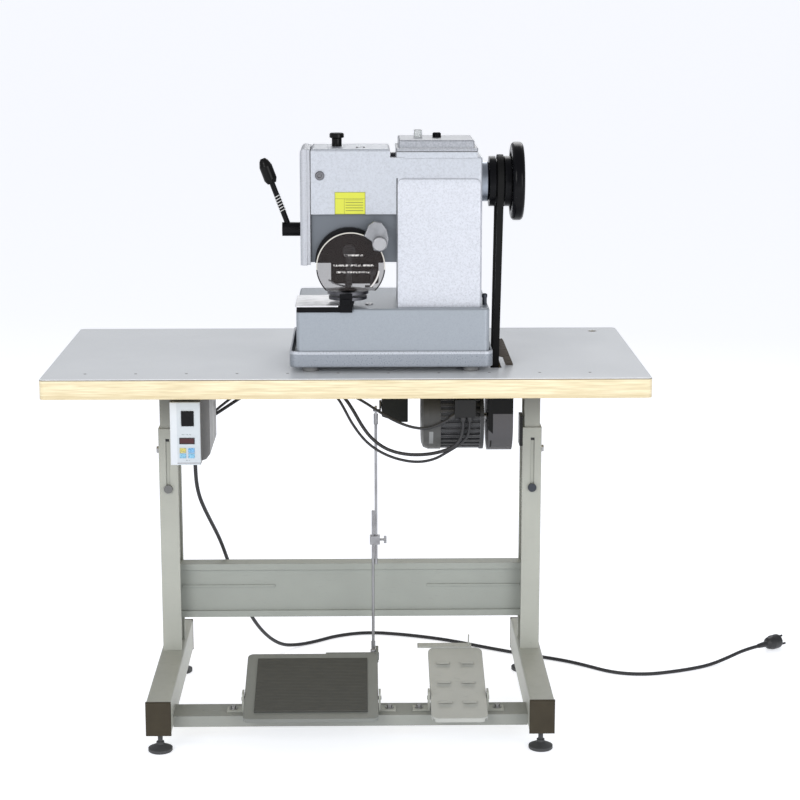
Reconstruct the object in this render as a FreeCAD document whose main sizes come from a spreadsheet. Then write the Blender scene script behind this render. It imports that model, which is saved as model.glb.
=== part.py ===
# Industrial overseaming machine for leather: a cast head with a curved needle on an oil tray, on a
# work table with a height-adjustable steel stand, a motor and belt, a control box, a treadle with
# its rod and speed lever, a second pedal and a mains lead.
# Millimetres. X to the right, Y away from the operator, Z up. Origin on the floor, in the middle of
# the ground that the stand and the table cover.
import FreeCAD
import Part
import Sketcher
import math
import os
import re

SIZES = {
    # table: a laminated board with its top at the working height
    "table_length": 1200, "table_depth": 600, "table_thickness": 40, "table_top": 760,
    "table_y": 22.5, "table_corner": 10, "table_round": 2,
    "belt_slot_width": 22, "belt_slot_length": 96,
    "spool_hole_x": 543, "spool_hole_y": 274, "spool_hole_radius": 10,
    # stand: two posts on base bars, joined by a crossbeam
    "stand_x": 5, "post_spacing": 768, "post_y": 42.5, "post_width": 40, "post_depth": 80,
    "post_wall": 3, "post_opening": 70, "inner_opening": 60, "post_top": 600,
    "inner_bottom": 400, "slide_gap": 0.6,
    "slot_bottom": 466, "slot_top": 578, "slot_width": 8, "slot_shift": 1,
    "side_bolt_drop": 54, "guide_width": 6.6, "guide_depth": 38, "guide_drop": 40,
    "guide_rise": 25,
    "arm_length": 430, "arm_height": 20, "arm_y": 37.5,
    "bar_width": 50, "bar_height": 70, "bar_bottom": 42, "bar_front": -316.5, "bar_length": 533,
    "bar_wall": 3, "bar_round": 5, "cap_thickness": 6, "cap_overlap": 1, "cap_plug": 10,
    "beam_bottom": 174, "beam_height": 119, "beam_depth": 36, "beam_y": 41, "beam_wall": 3,
    "beam_lip": 14, "beam_recess": 5, "rib_height": 5, "rib_length": 200, "rib_rise": 66,
    "rail_height": 23, "rail_depth": 70, "rail_front": -271.5, "rail_wall": 3,
    "foot_radius": 24.5, "foot_disc": 7, "foot_cone": 8, "foot_neck": 8, "stem_radius": 5,
    "stem_rise": 14, "foot_front_y": -291.5, "foot_back_y": 187.5, "nut_radius": 9.5,
    "nut_height": 8,
    # pedals
    "hinge_y": -239.5, "hinge_z": 90, "pedal_tilt": 15, "trunnion_radius": 4,
    "ear_thickness": 4, "ear_width": 26, "ear_height": 40, "ear_gap": 1, "bracket_foot": 31,
    "bolt_inset": 13,
    "bolt_radius": 3, "washer_radius": 9, "washer_height": 1.6, "bolt_head": 5,
    "bolt_head_radius": 5.5,
    "treadle_left": -211, "treadle_width": 272, "treadle_front": 84, "treadle_back": 149,
    "treadle_plate": 5, "treadle_rise": 4, "treadle_rim": 9, "treadle_corner": 12,
    "mat_margin": 22, "mat_thickness": 4,
    "pedal_place": 0.42, "pedal_width": 114, "pedal_front": 84, "pedal_back": 171,
    "pedal_plate": 4, "pedal_corner": 16, "pedal_rim": 10,
    "arm_bar": 4, "arm_bar_height": 17, "arm_bar_left": -48, "arm_bar_length": 112,
    "ball_x": 52, "ball_reach": 181, "ball_drop": -7, "stud_radius": 4, "eye_width": 8,
    "eye_radius": 8,
    # treadle rod and speed box
    "rod_radius": 3, "rod_gap": 0.4, "lower_rod_top": 438, "upper_rod_bottom": 322,
    "clamp_bottom": 366, "clamp_height": 18,
    "speed_box_left": 71, "speed_box_width": 54, "speed_box_depth": 74, "speed_box_bottom": 627,
    "speed_box_height": 61, "speed_box_front": -64, "lever_pivot_y": -2.9, "lever_pivot_z": 652,
    "speed_lever_reach": 60, "speed_lever_plate": 3, "lever_hub_radius": 9, "pin_radius": 2.5,
    "loop_length": 14, "loop_height": 8, "loop_wall": 3.5, "loop_plate": 5,
    # head
    "shaft_y": -117.5, "shaft_z": 1130, "shaft_radius": 10, "running_gap": 0.05,
    "foot_pad_radius": 16, "foot_pad_height": 12,
    "tray_left": -113, "tray_width": 403, "tray_front": -221, "tray_depth": 306,
    "tray_height": 32, "tray_wall": 4, "tray_corner": 16,
    "base_left": -99, "base_width": 382, "base_front": -216, "base_depth": 294,
    "base_top": 888, "base_wall": 9, "base_corner": 10, "base_round": 4,
    "head_left": -69.5, "head_right": 87, "head_front": -190.5, "head_depth": 146,
    "head_bottom": 976, "head_top": 1200, "casting_wall": 9, "head_round": 7,
    "band_height": 96, "band_recess": 12,
    "column_left": 101, "column_right": 268, "column_front": -190.5, "column_depth": 147.5,
    "raised_panel": 4.5, "raised_top": 1142, "raised_inset": 3, "raised_round": 12,
    "column_top": 1185, "column_round": 6, "neck_top": 1183, "rim_top": 1193.8, "rim_inset": 2,
    "cover_left": -90, "cover_seam": 6, "cover_bottom": 971, "cover_wall": 4, "cover_round": 9,
    "seam_gap": 0.5,
    "flange_bottom": 1195, "flange_thickness": 6, "flange_left": 98.6, "flange_width": 160.7,
    "lid_left": 103.7, "lid_width": 148.5, "lid_front": -187.5, "lid_depth": 140,
    "lid_top": 1217, "lid_round": 5, "lid_wall": 4,
    "cup_x": 143, "cup_radius": 8.5, "cup_height": 15.5,
    "lid_knob_x": 180.5, "lid_knob_radius": 8.5, "lid_knob_height": 10,
    "top_knob_x": -18, "top_knob_radius": 14.5, "top_knob_height": 26, "top_stem_radius": 10,
    "top_shank_radius": 5,
    "plug_x": -50.8, "plug_z": 1148, "plug_radius": 9,
    "collar_radius": 40, "collar_length": 16, "shaft_left": -36,
    "pulley_radius": 50, "pulley_left": 284.6, "pulley_length": 43.4, "groove_x": 306,
    "groove_width": 18, "groove_depth": 6,
    "wheel_gap": 0.4, "wheel_radius": 78, "wheel_width": 24, "rim_depth": 19, "rim_round": 8,
    "hub_radius": 26, "web_thickness": 12,
    "lever_shaft_left": -128, "lever_x": -113, "lever_z": 1035, "lever_shaft_radius": 14,
    "lever_stub_radius": 8, "lever_rod_radius": 5.5, "lever_lean": 20.5, "knob_start": 98,
    "knob_length": 52, "knob_radius": 13,
    # needle, discs and guard
    "works_x": 6, "needle_z": 1000, "needle_radius": 70, "needle_thickness": 3.2, "housing_radius": 67,
    "housing_z": 979, "housing_thickness": 10, "block_left": -30, "block_right": 64,
    "block_bottom": 934, "block_depth": 40,
    "disc_x": 3, "disc_y": -172.5, "disc_radius": 41, "upper_disc_z": 914,
    "lower_disc_z": 903, "disc_thickness": 6, "disc_shaft_radius": 6,
    "plate_left": -101, "plate_width": 88, "plate_front": -222, "plate_depth": 140,
    "plate_thickness": 3, "strip_height": 5, "strip_depth": 4,
    "bracket_left": -13, "bracket_width": 25, "bracket_top": 919, "bracket_depth": 8,
    "guard_radius": 68, "guard_z": 971, "guard_thickness": 3, "guard_front": -211,
    "guard_chord": 924, "pivot_x": 66, "pivot_z": 1018, "pivot_radius": 4,
    "thumb_radius": 14.5, "thumb_length": 11,
    # belt, motor
    "belt_width": 12, "belt_height": 9, "motor_pulley_x": 298, "motor_y": -117.5,
    "motor_z": 650, "motor_pulley_radius": 30, "belt_gap": 0.3,
    "motor_radius": 64, "motor_left": 150, "bell_length": 39, "fin_length": 79,
    "motor_flange": 8, "fin_depth": 6, "fin_count": 30, "fin_width": 6,
    "guard_box_left": 284, "guard_box_width": 50,
    "guard_box_radius": 68, "guard_box_wall": 3,
    # control box
    "box_left": -352, "box_width": 60, "box_front": -214, "box_depth": 210, "box_bottom": 574,
    "box_top": 702, "panel_thickness": 4, "box_flare": 16,
    "box_front_depth": 40,
    "rocker_x": -317, "rocker_z": 669, "rocker_width": 24, "rocker_height": 30,
    "display_width": 30.5, "display_height": 13, "display_rise": -52, "key_width": 12.5,
    "key_height": 9.5, "key_pitch_x": 17, "key_pitch_z": 11, "key_rise": -69.5,
    "gland_length": 14, "motor_gland": 10,
    # leads
    "mains_radius": 4, "lead_radius": 3.5, "thin_lead_radius": 2.8,
}

doc = FreeCAD.newDocument("overseaming_station")
sheet = doc.addObject("Spreadsheet::Sheet", "Sizes")
for row, (word, value) in enumerate(SIZES.items(), start=1):
    sheet.set("A%d" % row, word)
    sheet.set("B%d" % row, str(value))
    sheet.setAlias("B%d" % row, word)
doc.recompute()

X, Y, Z = FreeCAD.Vector(1, 0, 0), FreeCAD.Vector(0, 1, 0), FreeCAD.Vector(0, 0, 1)
UPRIGHT = FreeCAD.Rotation()
LYING = {"x": FreeCAD.Rotation(Y, 90), "y": FreeCAD.Rotation(X, -90), "z": UPRIGHT}
nodes = {}


def size(word):
    """A driving dimension, as a number."""
    return float(sheet.get(word))


def bound(text):
    """An expression whose size words point at their cells."""
    return re.sub("[a-z_]+", lambda w: "Sizes." + w[0] if w[0] in SIZES else w[0], str(text))


def place(piece, x, y, z, turn=UPRIGHT):
    """Put a piece at a place given by expressions."""
    piece.Placement = FreeCAD.Placement(FreeCAD.Vector(), turn)
    for axis, text in zip("xyz", (x, y, z)):
        piece.setExpression("Placement.Base." + axis, bound(text))
    return piece


def bind(piece, **sizes):
    """Tie properties of a piece to expressions."""
    for name, text in sizes.items():
        piece.setExpression(name, bound(text))
    return piece


def box(name, x, y, z, length, width, height):
    piece = doc.addObject("Part::Box", name)
    return place(bind(piece, Length=length, Width=width, Height=height), x, y, z)


def cylinder(name, along, x, y, z, radius, length):
    piece = doc.addObject("Part::Cylinder", name)
    return place(bind(piece, Radius=radius, Height=length), x, y, z, LYING[along])


def cone(name, along, x, y, z, first, second, length):
    piece = doc.addObject("Part::Cone", name)
    bind(piece, Radius1=first, Radius2=second, Height=length)
    return place(piece, x, y, z, LYING[along])


def hexagon(name, along, x, y, z, radius, height):
    piece = doc.addObject("Part::Prism", name)
    piece.Polygon = 6
    return place(bind(piece, Circumradius=radius, Height=height), x, y, z, LYING[along])


def fuse(name, *pieces):
    whole = doc.addObject("Part::MultiFuse", name)
    whole.Shapes = list(pieces)
    whole.Refine = True
    return whole


def cut(name, base, *tools):
    whole = doc.addObject("Part::Cut", name)
    whole.Base = base
    whole.Tool = tools[0] if len(tools) == 1 else fuse(name + "_tools", *tools)
    whole.Refine = True
    return whole


def group(name, *pieces):
    whole = doc.addObject("Part::Compound", name)
    whole.Links = list(pieces)
    return whole


def node(name, piece):
    """Name a finished sub-part and keep it for export."""
    piece.Label = name
    nodes[name] = piece
    return piece


def body_at(name, x=0, y=0, z=0, turn=UPRIGHT):
    return place(doc.addObject("PartDesign::Body", name), x, y, z, turn)


def outline(body, role, corners):
    """A closed sketch of straight lines whose corners follow expressions."""
    sketch = body.newObject("Sketcher::SketchObject", body.Name + "_sketch")
    plane = next(item for item in body.Origin.OriginFeatures if item.Role == role)
    sketch.AttachmentSupport = (plane, [""])
    sketch.MapMode = "FlatFace"
    count = len(corners)
    ring = [FreeCAD.Vector(100 * math.cos(2 * math.pi * i / count),
                           100 * math.sin(2 * math.pi * i / count)) for i in range(count)]
    sketch.addGeometry([Part.LineSegment(ring[i], ring[(i + 1) % count]) for i in range(count)])
    for i in range(count):
        sketch.addConstraint(Sketcher.Constraint("Coincident", i, 2, (i + 1) % count, 1))
    for i, (across, up) in enumerate(corners):
        for kind, text, start in (("DistanceX", across, ring[i].x), ("DistanceY", up, ring[i].y)):
            number = sketch.addConstraint(Sketcher.Constraint(kind, -1, 1, i, 1, start))
            sketch.setExpression("Constraints[%d]" % number, bound(text))
    return sketch


def rectangle(x1, y1, x2, y2):
    return [(x1, y1), (x2, y1), (x2, y2), (x1, y2)]


def pad(body, role, corners, length):
    feature = body.newObject("PartDesign::Pad", body.Name + "_pad")
    feature.Profile = outline(body, role, corners)
    bind(feature, Length=length)
    body.Tip = feature
    return feature


def pocket(body, role, corners, length):
    """Cut away from the sketch plane towards its normal side."""
    feature = body.newObject("PartDesign::Pocket", body.Name + "_pocket")
    feature.Profile = outline(body, role, corners)
    feature.Reversed = True
    bind(feature, Length=length)
    doc.recompute()
    before = feature.BaseFeature.Shape.Volume
    if feature.Shape.Volume > before - 1:
        raise RuntimeError(body.Name + ": a pocket removes nothing")
    body.Tip = feature
    return feature


def rounded(body, radius, chosen):
    """Round the edges that a test picks out."""
    doc.recompute()
    base = body.Tip
    names = ["Edge%d" % (i + 1) for i, edge in enumerate(base.Shape.Edges) if chosen(edge)]
    feature = body.newObject("PartDesign::Fillet", body.Name + "_round")
    feature.Base = (base, names)
    bind(feature, Radius=radius)
    body.Tip = feature
    return body


def runs_along(axis):
    """A test for straight edges that run along one axis of the body."""
    def test(edge):
        return edge.Curve.TypeId == "Part::GeomLine" and abs(edge.tangentAt(0).dot(axis)) > 0.999
    return test


def level_at(axis, height):
    """A test for edges that lie whole at one height along an axis of the body."""
    def test(edge):
        return all(abs(edge.valueAt(t).dot(axis) - height) < 1e-4
                   for t in (edge.FirstParameter, (edge.FirstParameter + edge.LastParameter) / 2,
                             edge.LastParameter))
    return test


def turned(name, corners, x, y, z, turn=UPRIGHT):
    """A body turned about its own Z axis from an outline of (radius, height) corners."""
    body = body_at(name, x, y, z, turn)
    feature = body.newObject("PartDesign::Revolution", name + "_turn")
    sketch = outline(body, "XZ_Plane", corners)
    feature.Profile = sketch
    feature.ReferenceAxis = (sketch, ["V_Axis"])
    feature.Angle = 360
    body.Tip = feature
    return body


def block(name, length, width, height, x, y, z):
    """A plain pad from its lowest corner."""
    body = body_at(name, x, y, z)
    pad(body, "XY_Plane", rectangle(0, 0, length, width), height)
    return body


def side_x(side):
    """The middle of the left (-1) or right (+1) post."""
    return "stand_x + %d * post_spacing / 2" % side


SIDES = ((-1, "left"), (1, "right"))


# ---------------------------------------------------------------- stand
def base_bars():
    bars = []
    for side, word in SIDES:
        bar = body_at("bar_" + word, side_x(side), "bar_front", "bar_bottom + bar_height / 2",
                      LYING["y"])
        half = ("bar_width / 2", "bar_height / 2")
        pad(bar, "XY_Plane", rectangle("-" + half[0], "-" + half[1], *half), "bar_length")
        rounded(bar, "bar_round", runs_along(Z))
        hole = ("bar_width / 2 - bar_wall", "bar_height / 2 - bar_wall")
        pocket(bar, "XY_Plane", rectangle("-(%s)" % hole[0], "-(%s)" % hole[1], *hole),
               "bar_length")
        drills = [cylinder("bar_%s_stem_hole_%d" % (word, i), "z", side_x(side), y, "bar_bottom - 1",
                           "stem_radius", "bar_wall + 2")
                  for i, y in enumerate(("foot_front_y", "foot_back_y"))]
        bars.append(cut("base_bar_" + word, bar, *drills))
    node("base_bars", group("base_bars", *bars))


def base_end_caps():
    """Plugs with a rounded face in the ends of the base bars."""
    caps = []
    grow = "cap_overlap / 2"
    for side, word in SIDES:
        left = side_x(side) + " - bar_width / 2"
        ends = (("front", "bar_front - cap_thickness", "bar_front"),
                ("back", "bar_front + bar_length", "bar_front + bar_length - cap_plug"))
        for end, y, plug_y in ends:
            name = "cap_%s_%s" % (word, end)
            plate = block(name, "bar_width + cap_overlap", "cap_thickness",
                          "bar_height + cap_overlap", "%s - %s" % (left, grow), y,
                          "bar_bottom - " + grow)
            outer = 0.0 if end == "front" else size("cap_thickness")
            rounded(plate, "cap_thickness / 2 - 0.2", level_at(Y, outer))
            inset = "bar_wall + slide_gap / 2"
            plug = box(name + "_plug", "%s + %s" % (left, inset), plug_y, "bar_bottom + " + inset,
                       "bar_width - 2 * (%s)" % inset, "cap_plug", "bar_height - 2 * (%s)" % inset)
            caps.append(fuse(name + "_whole", plate, plug))
    return caps


def post_guides():
    """The plastic guides on the front lips of the outer posts, which steady the inner posts."""
    guides = []
    for side, word in SIDES:
        inner_face = "%s %s post_width / 2" % (side_x(side), "+" if side < 0 else "-")
        left = inner_face + ("" if side < 0 else " - guide_width")
        guides.append(block("guide_" + word, "guide_width", "guide_depth",
                            "guide_drop + guide_rise", left, "post_y - post_depth / 2",
                            "post_top - guide_drop"))
    return guides


def post_section(name, side, width, depth, mouth, x, y, z, length):
    """A box section whose face towards the middle of the stand is open along its length."""
    wall = "post_wall"
    outer = box(name + "_outer", "%s - (%s) / 2" % (x, width), "%s - (%s) / 2" % (y, depth), z,
                width, depth, length)
    inner = box(name + "_inner", "%s - (%s) / 2 + %s" % (x, width, wall),
                "%s - (%s) / 2 + %s" % (y, depth, wall), z + " - 1",
                "%s - 2 * %s" % (width, wall), "%s - 2 * %s" % (depth, wall), length + " + 2")
    inward = "(%s) / 2 - 2 * %s" % (width, wall) if side < 0 else "-(%s) / 2 - %s" % (width, wall)
    opening = box(name + "_opening", "%s + %s" % (x, inward), "%s - %s / 2" % (y, mouth),
                  z + " - 1", wall + " * 3", mouth, length + " + 2")
    return outer, inner, opening


def outer_posts():
    posts = []
    low = "bar_bottom + bar_height"
    for side, word in SIDES:
        x = side_x(side)
        outer, inner, opening = post_section("post_" + word, side, "post_width", "post_depth",
                                             "post_opening", x, "post_y", low, "post_top - (%s)" % low)
        slot = box("post_slot_" + word, "%s + %d * slot_shift - slot_width / 2" % (x, side),
                   "post_y - post_depth / 2 - 1", "slot_bottom", "slot_width", "post_wall + 2",
                   "slot_top - slot_bottom")
        bolt_x = x + (" - post_width / 2 - 1" if side < 0 else " + post_width / 2 - post_wall - 1")
        hole = cylinder("post_bolt_hole_" + word, "x", bolt_x, "post_y", "post_top - side_bolt_drop",
                        "bolt_radius + 1", "post_wall + 2")
        posts.append(cut("outer_post_" + word, outer, inner, opening, slot, hole))
    node("outer_posts", group("outer_posts", *posts))


def crossbeam():
    """The folded beam, its ends welded inside the open sides of the posts."""
    left = "stand_x - post_spacing / 2 - post_width / 2 + post_wall"
    span = "post_spacing + post_width - 2 * post_wall"
    beam = body_at("beam_section", left, "beam_y", "beam_bottom")
    recess_top = "beam_height - beam_lip"
    pad(beam, "YZ_Plane", [(0, 0), ("beam_depth", 0), ("beam_depth", "beam_height"),
                           (0, "beam_height"), (0, recess_top), ("beam_recess", recess_top),
                           ("beam_recess", "beam_lip"), (0, "beam_lip")], span)
    pocket(beam, "YZ_Plane", rectangle("beam_recess + beam_wall", "beam_wall",
                                       "beam_depth - beam_wall", "beam_height - beam_wall"), span)
    ribs = [box("beam_rib_" + word, side_x(side) + (" + post_width / 2" if side < 0 else
                " - post_width / 2 - rib_length"), "beam_y + beam_recess - rib_height / 2",
                "beam_bottom + rib_rise", "rib_length", "rib_height / 2 + 0.5", "rib_height")
            for side, word in SIDES]
    node("crossbeam", fuse("crossbeam", beam, *ribs))


BOLT_REACH = "(ear_gap + bracket_foot + ear_thickness - bolt_inset)"
RAIL_LEFT = "(stand_x - post_spacing / 2 + bar_width / 2)"
RAIL_SPAN = "(post_spacing - bar_width)"
TREADLE_FOOT = "(treadle_left - ear_gap - ear_thickness - bracket_foot)"
TREADLE_END = "(treadle_left + treadle_width + ear_gap + ear_thickness + bracket_foot)"
PEDAL_REACH = "(ear_gap + ear_thickness + bracket_foot)"
PEDAL_ROOM = "(%s + %s - %s - pedal_width - 2 * %s)" % (RAIL_LEFT, RAIL_SPAN, TREADLE_END,
                                                        PEDAL_REACH)
PEDAL_LEFT = "(%s + %s + pedal_place * %s)" % (TREADLE_END, PEDAL_REACH, PEDAL_ROOM)


def rail_bolt_places():
    """The X of the bolt of each pedal bracket, with the side of the pedal it stands on."""
    return (("treadle_left - " + BOLT_REACH, -1, "treadle_left"),
            ("treadle_left + treadle_width + " + BOLT_REACH, 1, "treadle_right"),
            ("%s - %s" % (PEDAL_LEFT, BOLT_REACH), -1, "pedal_left"),
            ("%s + pedal_width + %s" % (PEDAL_LEFT, BOLT_REACH), 1, "pedal_right"))


def pedal_rail():
    outer = box("rail_outer", RAIL_LEFT, "rail_front", "bar_bottom", RAIL_SPAN, "rail_depth",
                "rail_height")
    inner = box("rail_inner", RAIL_LEFT + " - 1", "rail_front + rail_wall", "bar_bottom - 1",
                RAIL_SPAN + " + 2", "rail_depth - 2 * rail_wall", "rail_height - rail_wall + 1")
    under = "bar_bottom + rail_height - rail_wall - 2"
    holes = [cylinder("rail_hole_" + word, "z", x, "hinge_y", under, "bolt_radius",
                      "rail_wall + 4") for x, side, word in rail_bolt_places()]
    free = "(%s - %s)" % (TREADLE_FOOT, RAIL_LEFT)
    adjust = box("rail_adjusting_slot", "%s - 0.46 * %s" % (TREADLE_FOOT, free),
                 "hinge_y - bolt_radius / 2", under, "0.45 * " + free, "bolt_radius",
                 "rail_wall + 4")
    node("pedal_rail", cut("pedal_rail", outer, inner, *holes, adjust))


def levelling_feet():
    feet = []
    for side, word in SIDES:
        for end in ("front", "back"):
            corners = [(0, 0), ("foot_radius - 1.5", 0), ("foot_radius", 1.5),
                       ("foot_radius", "foot_disc"), ("foot_neck", "foot_disc + foot_cone"),
                       ("foot_neck", "foot_disc + foot_cone + 5"),
                       ("stem_radius", "foot_disc + foot_cone + 5"),
                       ("stem_radius", "bar_bottom + stem_rise"), (0, "bar_bottom + stem_rise")]
            feet.append(turned("foot_%s_%s" % (word, end), corners, side_x(side),
                               "foot_%s_y" % end, 0))
    node("levelling_feet", group("levelling_feet", *feet))


def pedal_brackets():
    brackets = []
    for x, side, word in rail_bolt_places():
        inner_end = "(%s + %d * (bracket_foot - bolt_inset))" % (x, -side)
        ear_x = inner_end + (" - ear_thickness" if side > 0 else "")
        foot_x = inner_end + (" - bracket_foot" if side < 0 else "")
        ear = box("ear_" + word, ear_x, "hinge_y - ear_width / 2",
                  "bar_bottom + rail_height", "ear_thickness", "ear_width", "ear_height")
        foot = box("bracket_foot_" + word, foot_x, "hinge_y - ear_width / 2",
                   "bar_bottom + rail_height", "bracket_foot", "ear_width", "ear_thickness")
        bore = cylinder("ear_bore_" + word, "x", ear_x + " - 1", "hinge_y", "hinge_z",
                        "trunnion_radius + running_gap", "ear_thickness + 2")
        hole = cylinder("bracket_hole_" + word, "z", x, "hinge_y", "bar_bottom + rail_height - 1",
                        "bolt_radius", "ear_thickness + 2")
        brackets.append(cut("bracket_" + word, fuse("bracket_blank_" + word, ear, foot), bore, hole))
    node("pedal_brackets", group("pedal_brackets", *brackets))


def stand_bolts():
    bolts = []
    for x, side, word in rail_bolt_places():
        z = "bar_bottom + rail_height + ear_thickness"
        shank = cylinder("rail_bolt_%s_shank" % word, "z", x, "hinge_y",
                         "bar_bottom + rail_height - rail_wall - 6", "bolt_radius",
                         "rail_wall + 6 + ear_thickness + 1")
        washer = cylinder("rail_bolt_%s_washer" % word, "z", x, "hinge_y", z, "washer_radius",
                          "washer_height")
        head = hexagon("rail_bolt_%s_head" % word, "z", x, "hinge_y", z + " + washer_height",
                       "bolt_head_radius", "bolt_head")
        bolts.append(fuse("rail_bolt_" + word, shank, washer, head))
    for side, word in SIDES:
        x = side_x(side)
        face = "%s %s post_width / 2" % (x, "-" if side < 0 else "+")
        start = face + (" - bolt_head - 3" if side < 0 else " - post_wall")
        shank = cylinder("side_bolt_%s_shank" % word, "x", start, "post_y", "post_top - side_bolt_drop",
                         "bolt_radius + 1", "bolt_head + 3 + post_wall")
        head = hexagon("side_bolt_%s_head" % word, "x",
                       face + (" - bolt_head - 3" if side < 0 else " + 3"), "post_y",
                       "post_top - side_bolt_drop", "bolt_head_radius + 2", "bolt_head")
        nut = hexagon("side_bolt_%s_nut" % word, "x", face + (" - 3" if side < 0 else ""), "post_y",
                      "post_top - side_bolt_drop", "bolt_head_radius + 3", "3")
        bolts.append(fuse("side_bolt_" + word, shank, head, nut))
        for end in ("front", "back"):
            ring = hexagon("foot_nut_%s_%s_blank" % (word, end), "z", x, "foot_%s_y" % end,
                           "bar_bottom - nut_height", "nut_radius", "nut_height")
            hole = cylinder("foot_nut_%s_%s_hole" % (word, end), "z", x, "foot_%s_y" % end,
                            "bar_bottom - nut_height - 1", "stem_radius", "nut_height + 2")
            bolts.append(cut("foot_nut_%s_%s" % (word, end), ring, hole))
    node("stand_bolts", group("stand_bolts", *bolts))


# ---------------------------------------------------------------- pedals
def tilted(piece):
    """Set a pedal piece, made level about its hinge, at the pedals' slope."""
    piece.Placement = FreeCAD.Placement(FreeCAD.Vector(), FreeCAD.Rotation(X, size("pedal_tilt")))
    for axis, text in (("y", "hinge_y"), ("z", "hinge_z")):
        piece.setExpression("Placement.Base." + axis, bound(text))
    return piece


def pedal_pan(name, left, width, front, back, plate, rim, corner):
    """A plate with a rim turned down all round and a trunnion at each side of its hinge."""
    pan = body_at(name + "_pan", left, "-" + front, "treadle_rise + %s - %s" % (plate, rim))
    pad(pan, "XY_Plane", rectangle(0, 0, width, "%s + %s" % (front, back)), rim)
    rounded(pan, corner, runs_along(Z))
    rounded(pan, 1.5, level_at(Z, size(rim)))
    inside = "3"
    pocket(pan, "XY_Plane", rectangle(inside, inside, width + " - 3",
                                      "%s + %s - 3" % (front, back)), "%s - %s" % (rim, plate))
    lugs = [box("%s_lug_%s" % (name, word), x, -7, -6, 10, 14, "treadle_rise + 6.5")
            for word, x in (("left", left + " + 3"), ("right", "%s + %s - 13" % (left, width)))]
    reach = "ear_gap + ear_thickness + 1.5"
    trunnions = [cylinder("%s_trunnion_%s" % (name, word), "x", x, 0, 0, "trunnion_radius",
                          reach + " + 8")
                 for word, x in (("left", "%s - (%s)" % (left, reach)),
                                 ("right", "%s + %s - 8" % (left, width)))]
    return [pan] + lugs + trunnions


def treadle_arm():
    """The bar bolted across the back of the treadle, with the stud that works the rod."""
    top = "treadle_rise + treadle_plate"
    bar = box("arm_bar", "arm_bar_left", "treadle_back", top + " - arm_bar_height",
              "arm_bar_length", "arm_bar", "arm_bar_height")
    side_x = "ball_x + eye_width / 2 + 0.8"
    cheek = box("arm_cheek", side_x, "treadle_back", "ball_drop - 8", 6,
                "ball_reach - treadle_back + 8", 16)
    stud = cylinder("arm_stud", "x", "ball_x - eye_width / 2 - 2", "ball_reach", "ball_drop",
                    "stud_radius", "eye_width + 6")
    bolts = [hexagon("arm_bolt_%d" % i, "y", "arm_bar_left + " + shift, "treadle_back + arm_bar",
                     top + " - arm_bar_height / 2", "bolt_head_radius", 4)
             for i, shift in enumerate(("8", "62"))]
    return fuse("treadle_arm", bar, cheek, stud, *bolts)


def treadle():
    width, front, back = "treadle_width", "treadle_front", "treadle_back"
    pieces = pedal_pan("treadle", "treadle_left", width, front, back, "treadle_plate",
                       "treadle_rim", "treadle_corner")
    pan = fuse("treadle_pan_whole", *pieces)
    node("treadle_plate", tilted(group("treadle_plate", pan, treadle_arm())))
    mat = body_at("mat", "treadle_left + mat_margin", "mat_margin - " + front,
                  "treadle_rise + treadle_plate")
    pad(mat, "XY_Plane", rectangle(0, 0, width + " - 2 * mat_margin",
                                   "%s + %s - 2 * mat_margin" % (front, back)), "mat_thickness")
    rounded(mat, 1.5, level_at(Z, size("mat_thickness")))
    node("treadle_mat", tilted(group("treadle_mat", mat)))


def second_pedal():
    pieces = pedal_pan("pedal", PEDAL_LEFT, "pedal_width", "pedal_front", "pedal_back",
                       "pedal_plate", "pedal_rim", "pedal_corner")
    top = "treadle_rise + pedal_plate"
    tail = box("pedal_tail", PEDAL_LEFT + " - 22", "pedal_back - 3", top, "pedal_width", 14, 4)
    hook = cylinder("pedal_hook", "z", PEDAL_LEFT + " + pedal_width - 28", "pedal_back + 4",
                    top + " + 3", 1.5, 26)
    node("second_pedal", tilted(fuse("second_pedal", *pieces, tail, hook)))


BALL_Y = "(hinge_y + ball_reach * cos(pedal_tilt * 1 deg) - ball_drop * sin(pedal_tilt * 1 deg))"
BALL_Z = "(hinge_z + ball_reach * sin(pedal_tilt * 1 deg) + ball_drop * cos(pedal_tilt * 1 deg))"
UPPER_ROD_X = "(ball_x + 2 * rod_radius + rod_gap)"


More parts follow.
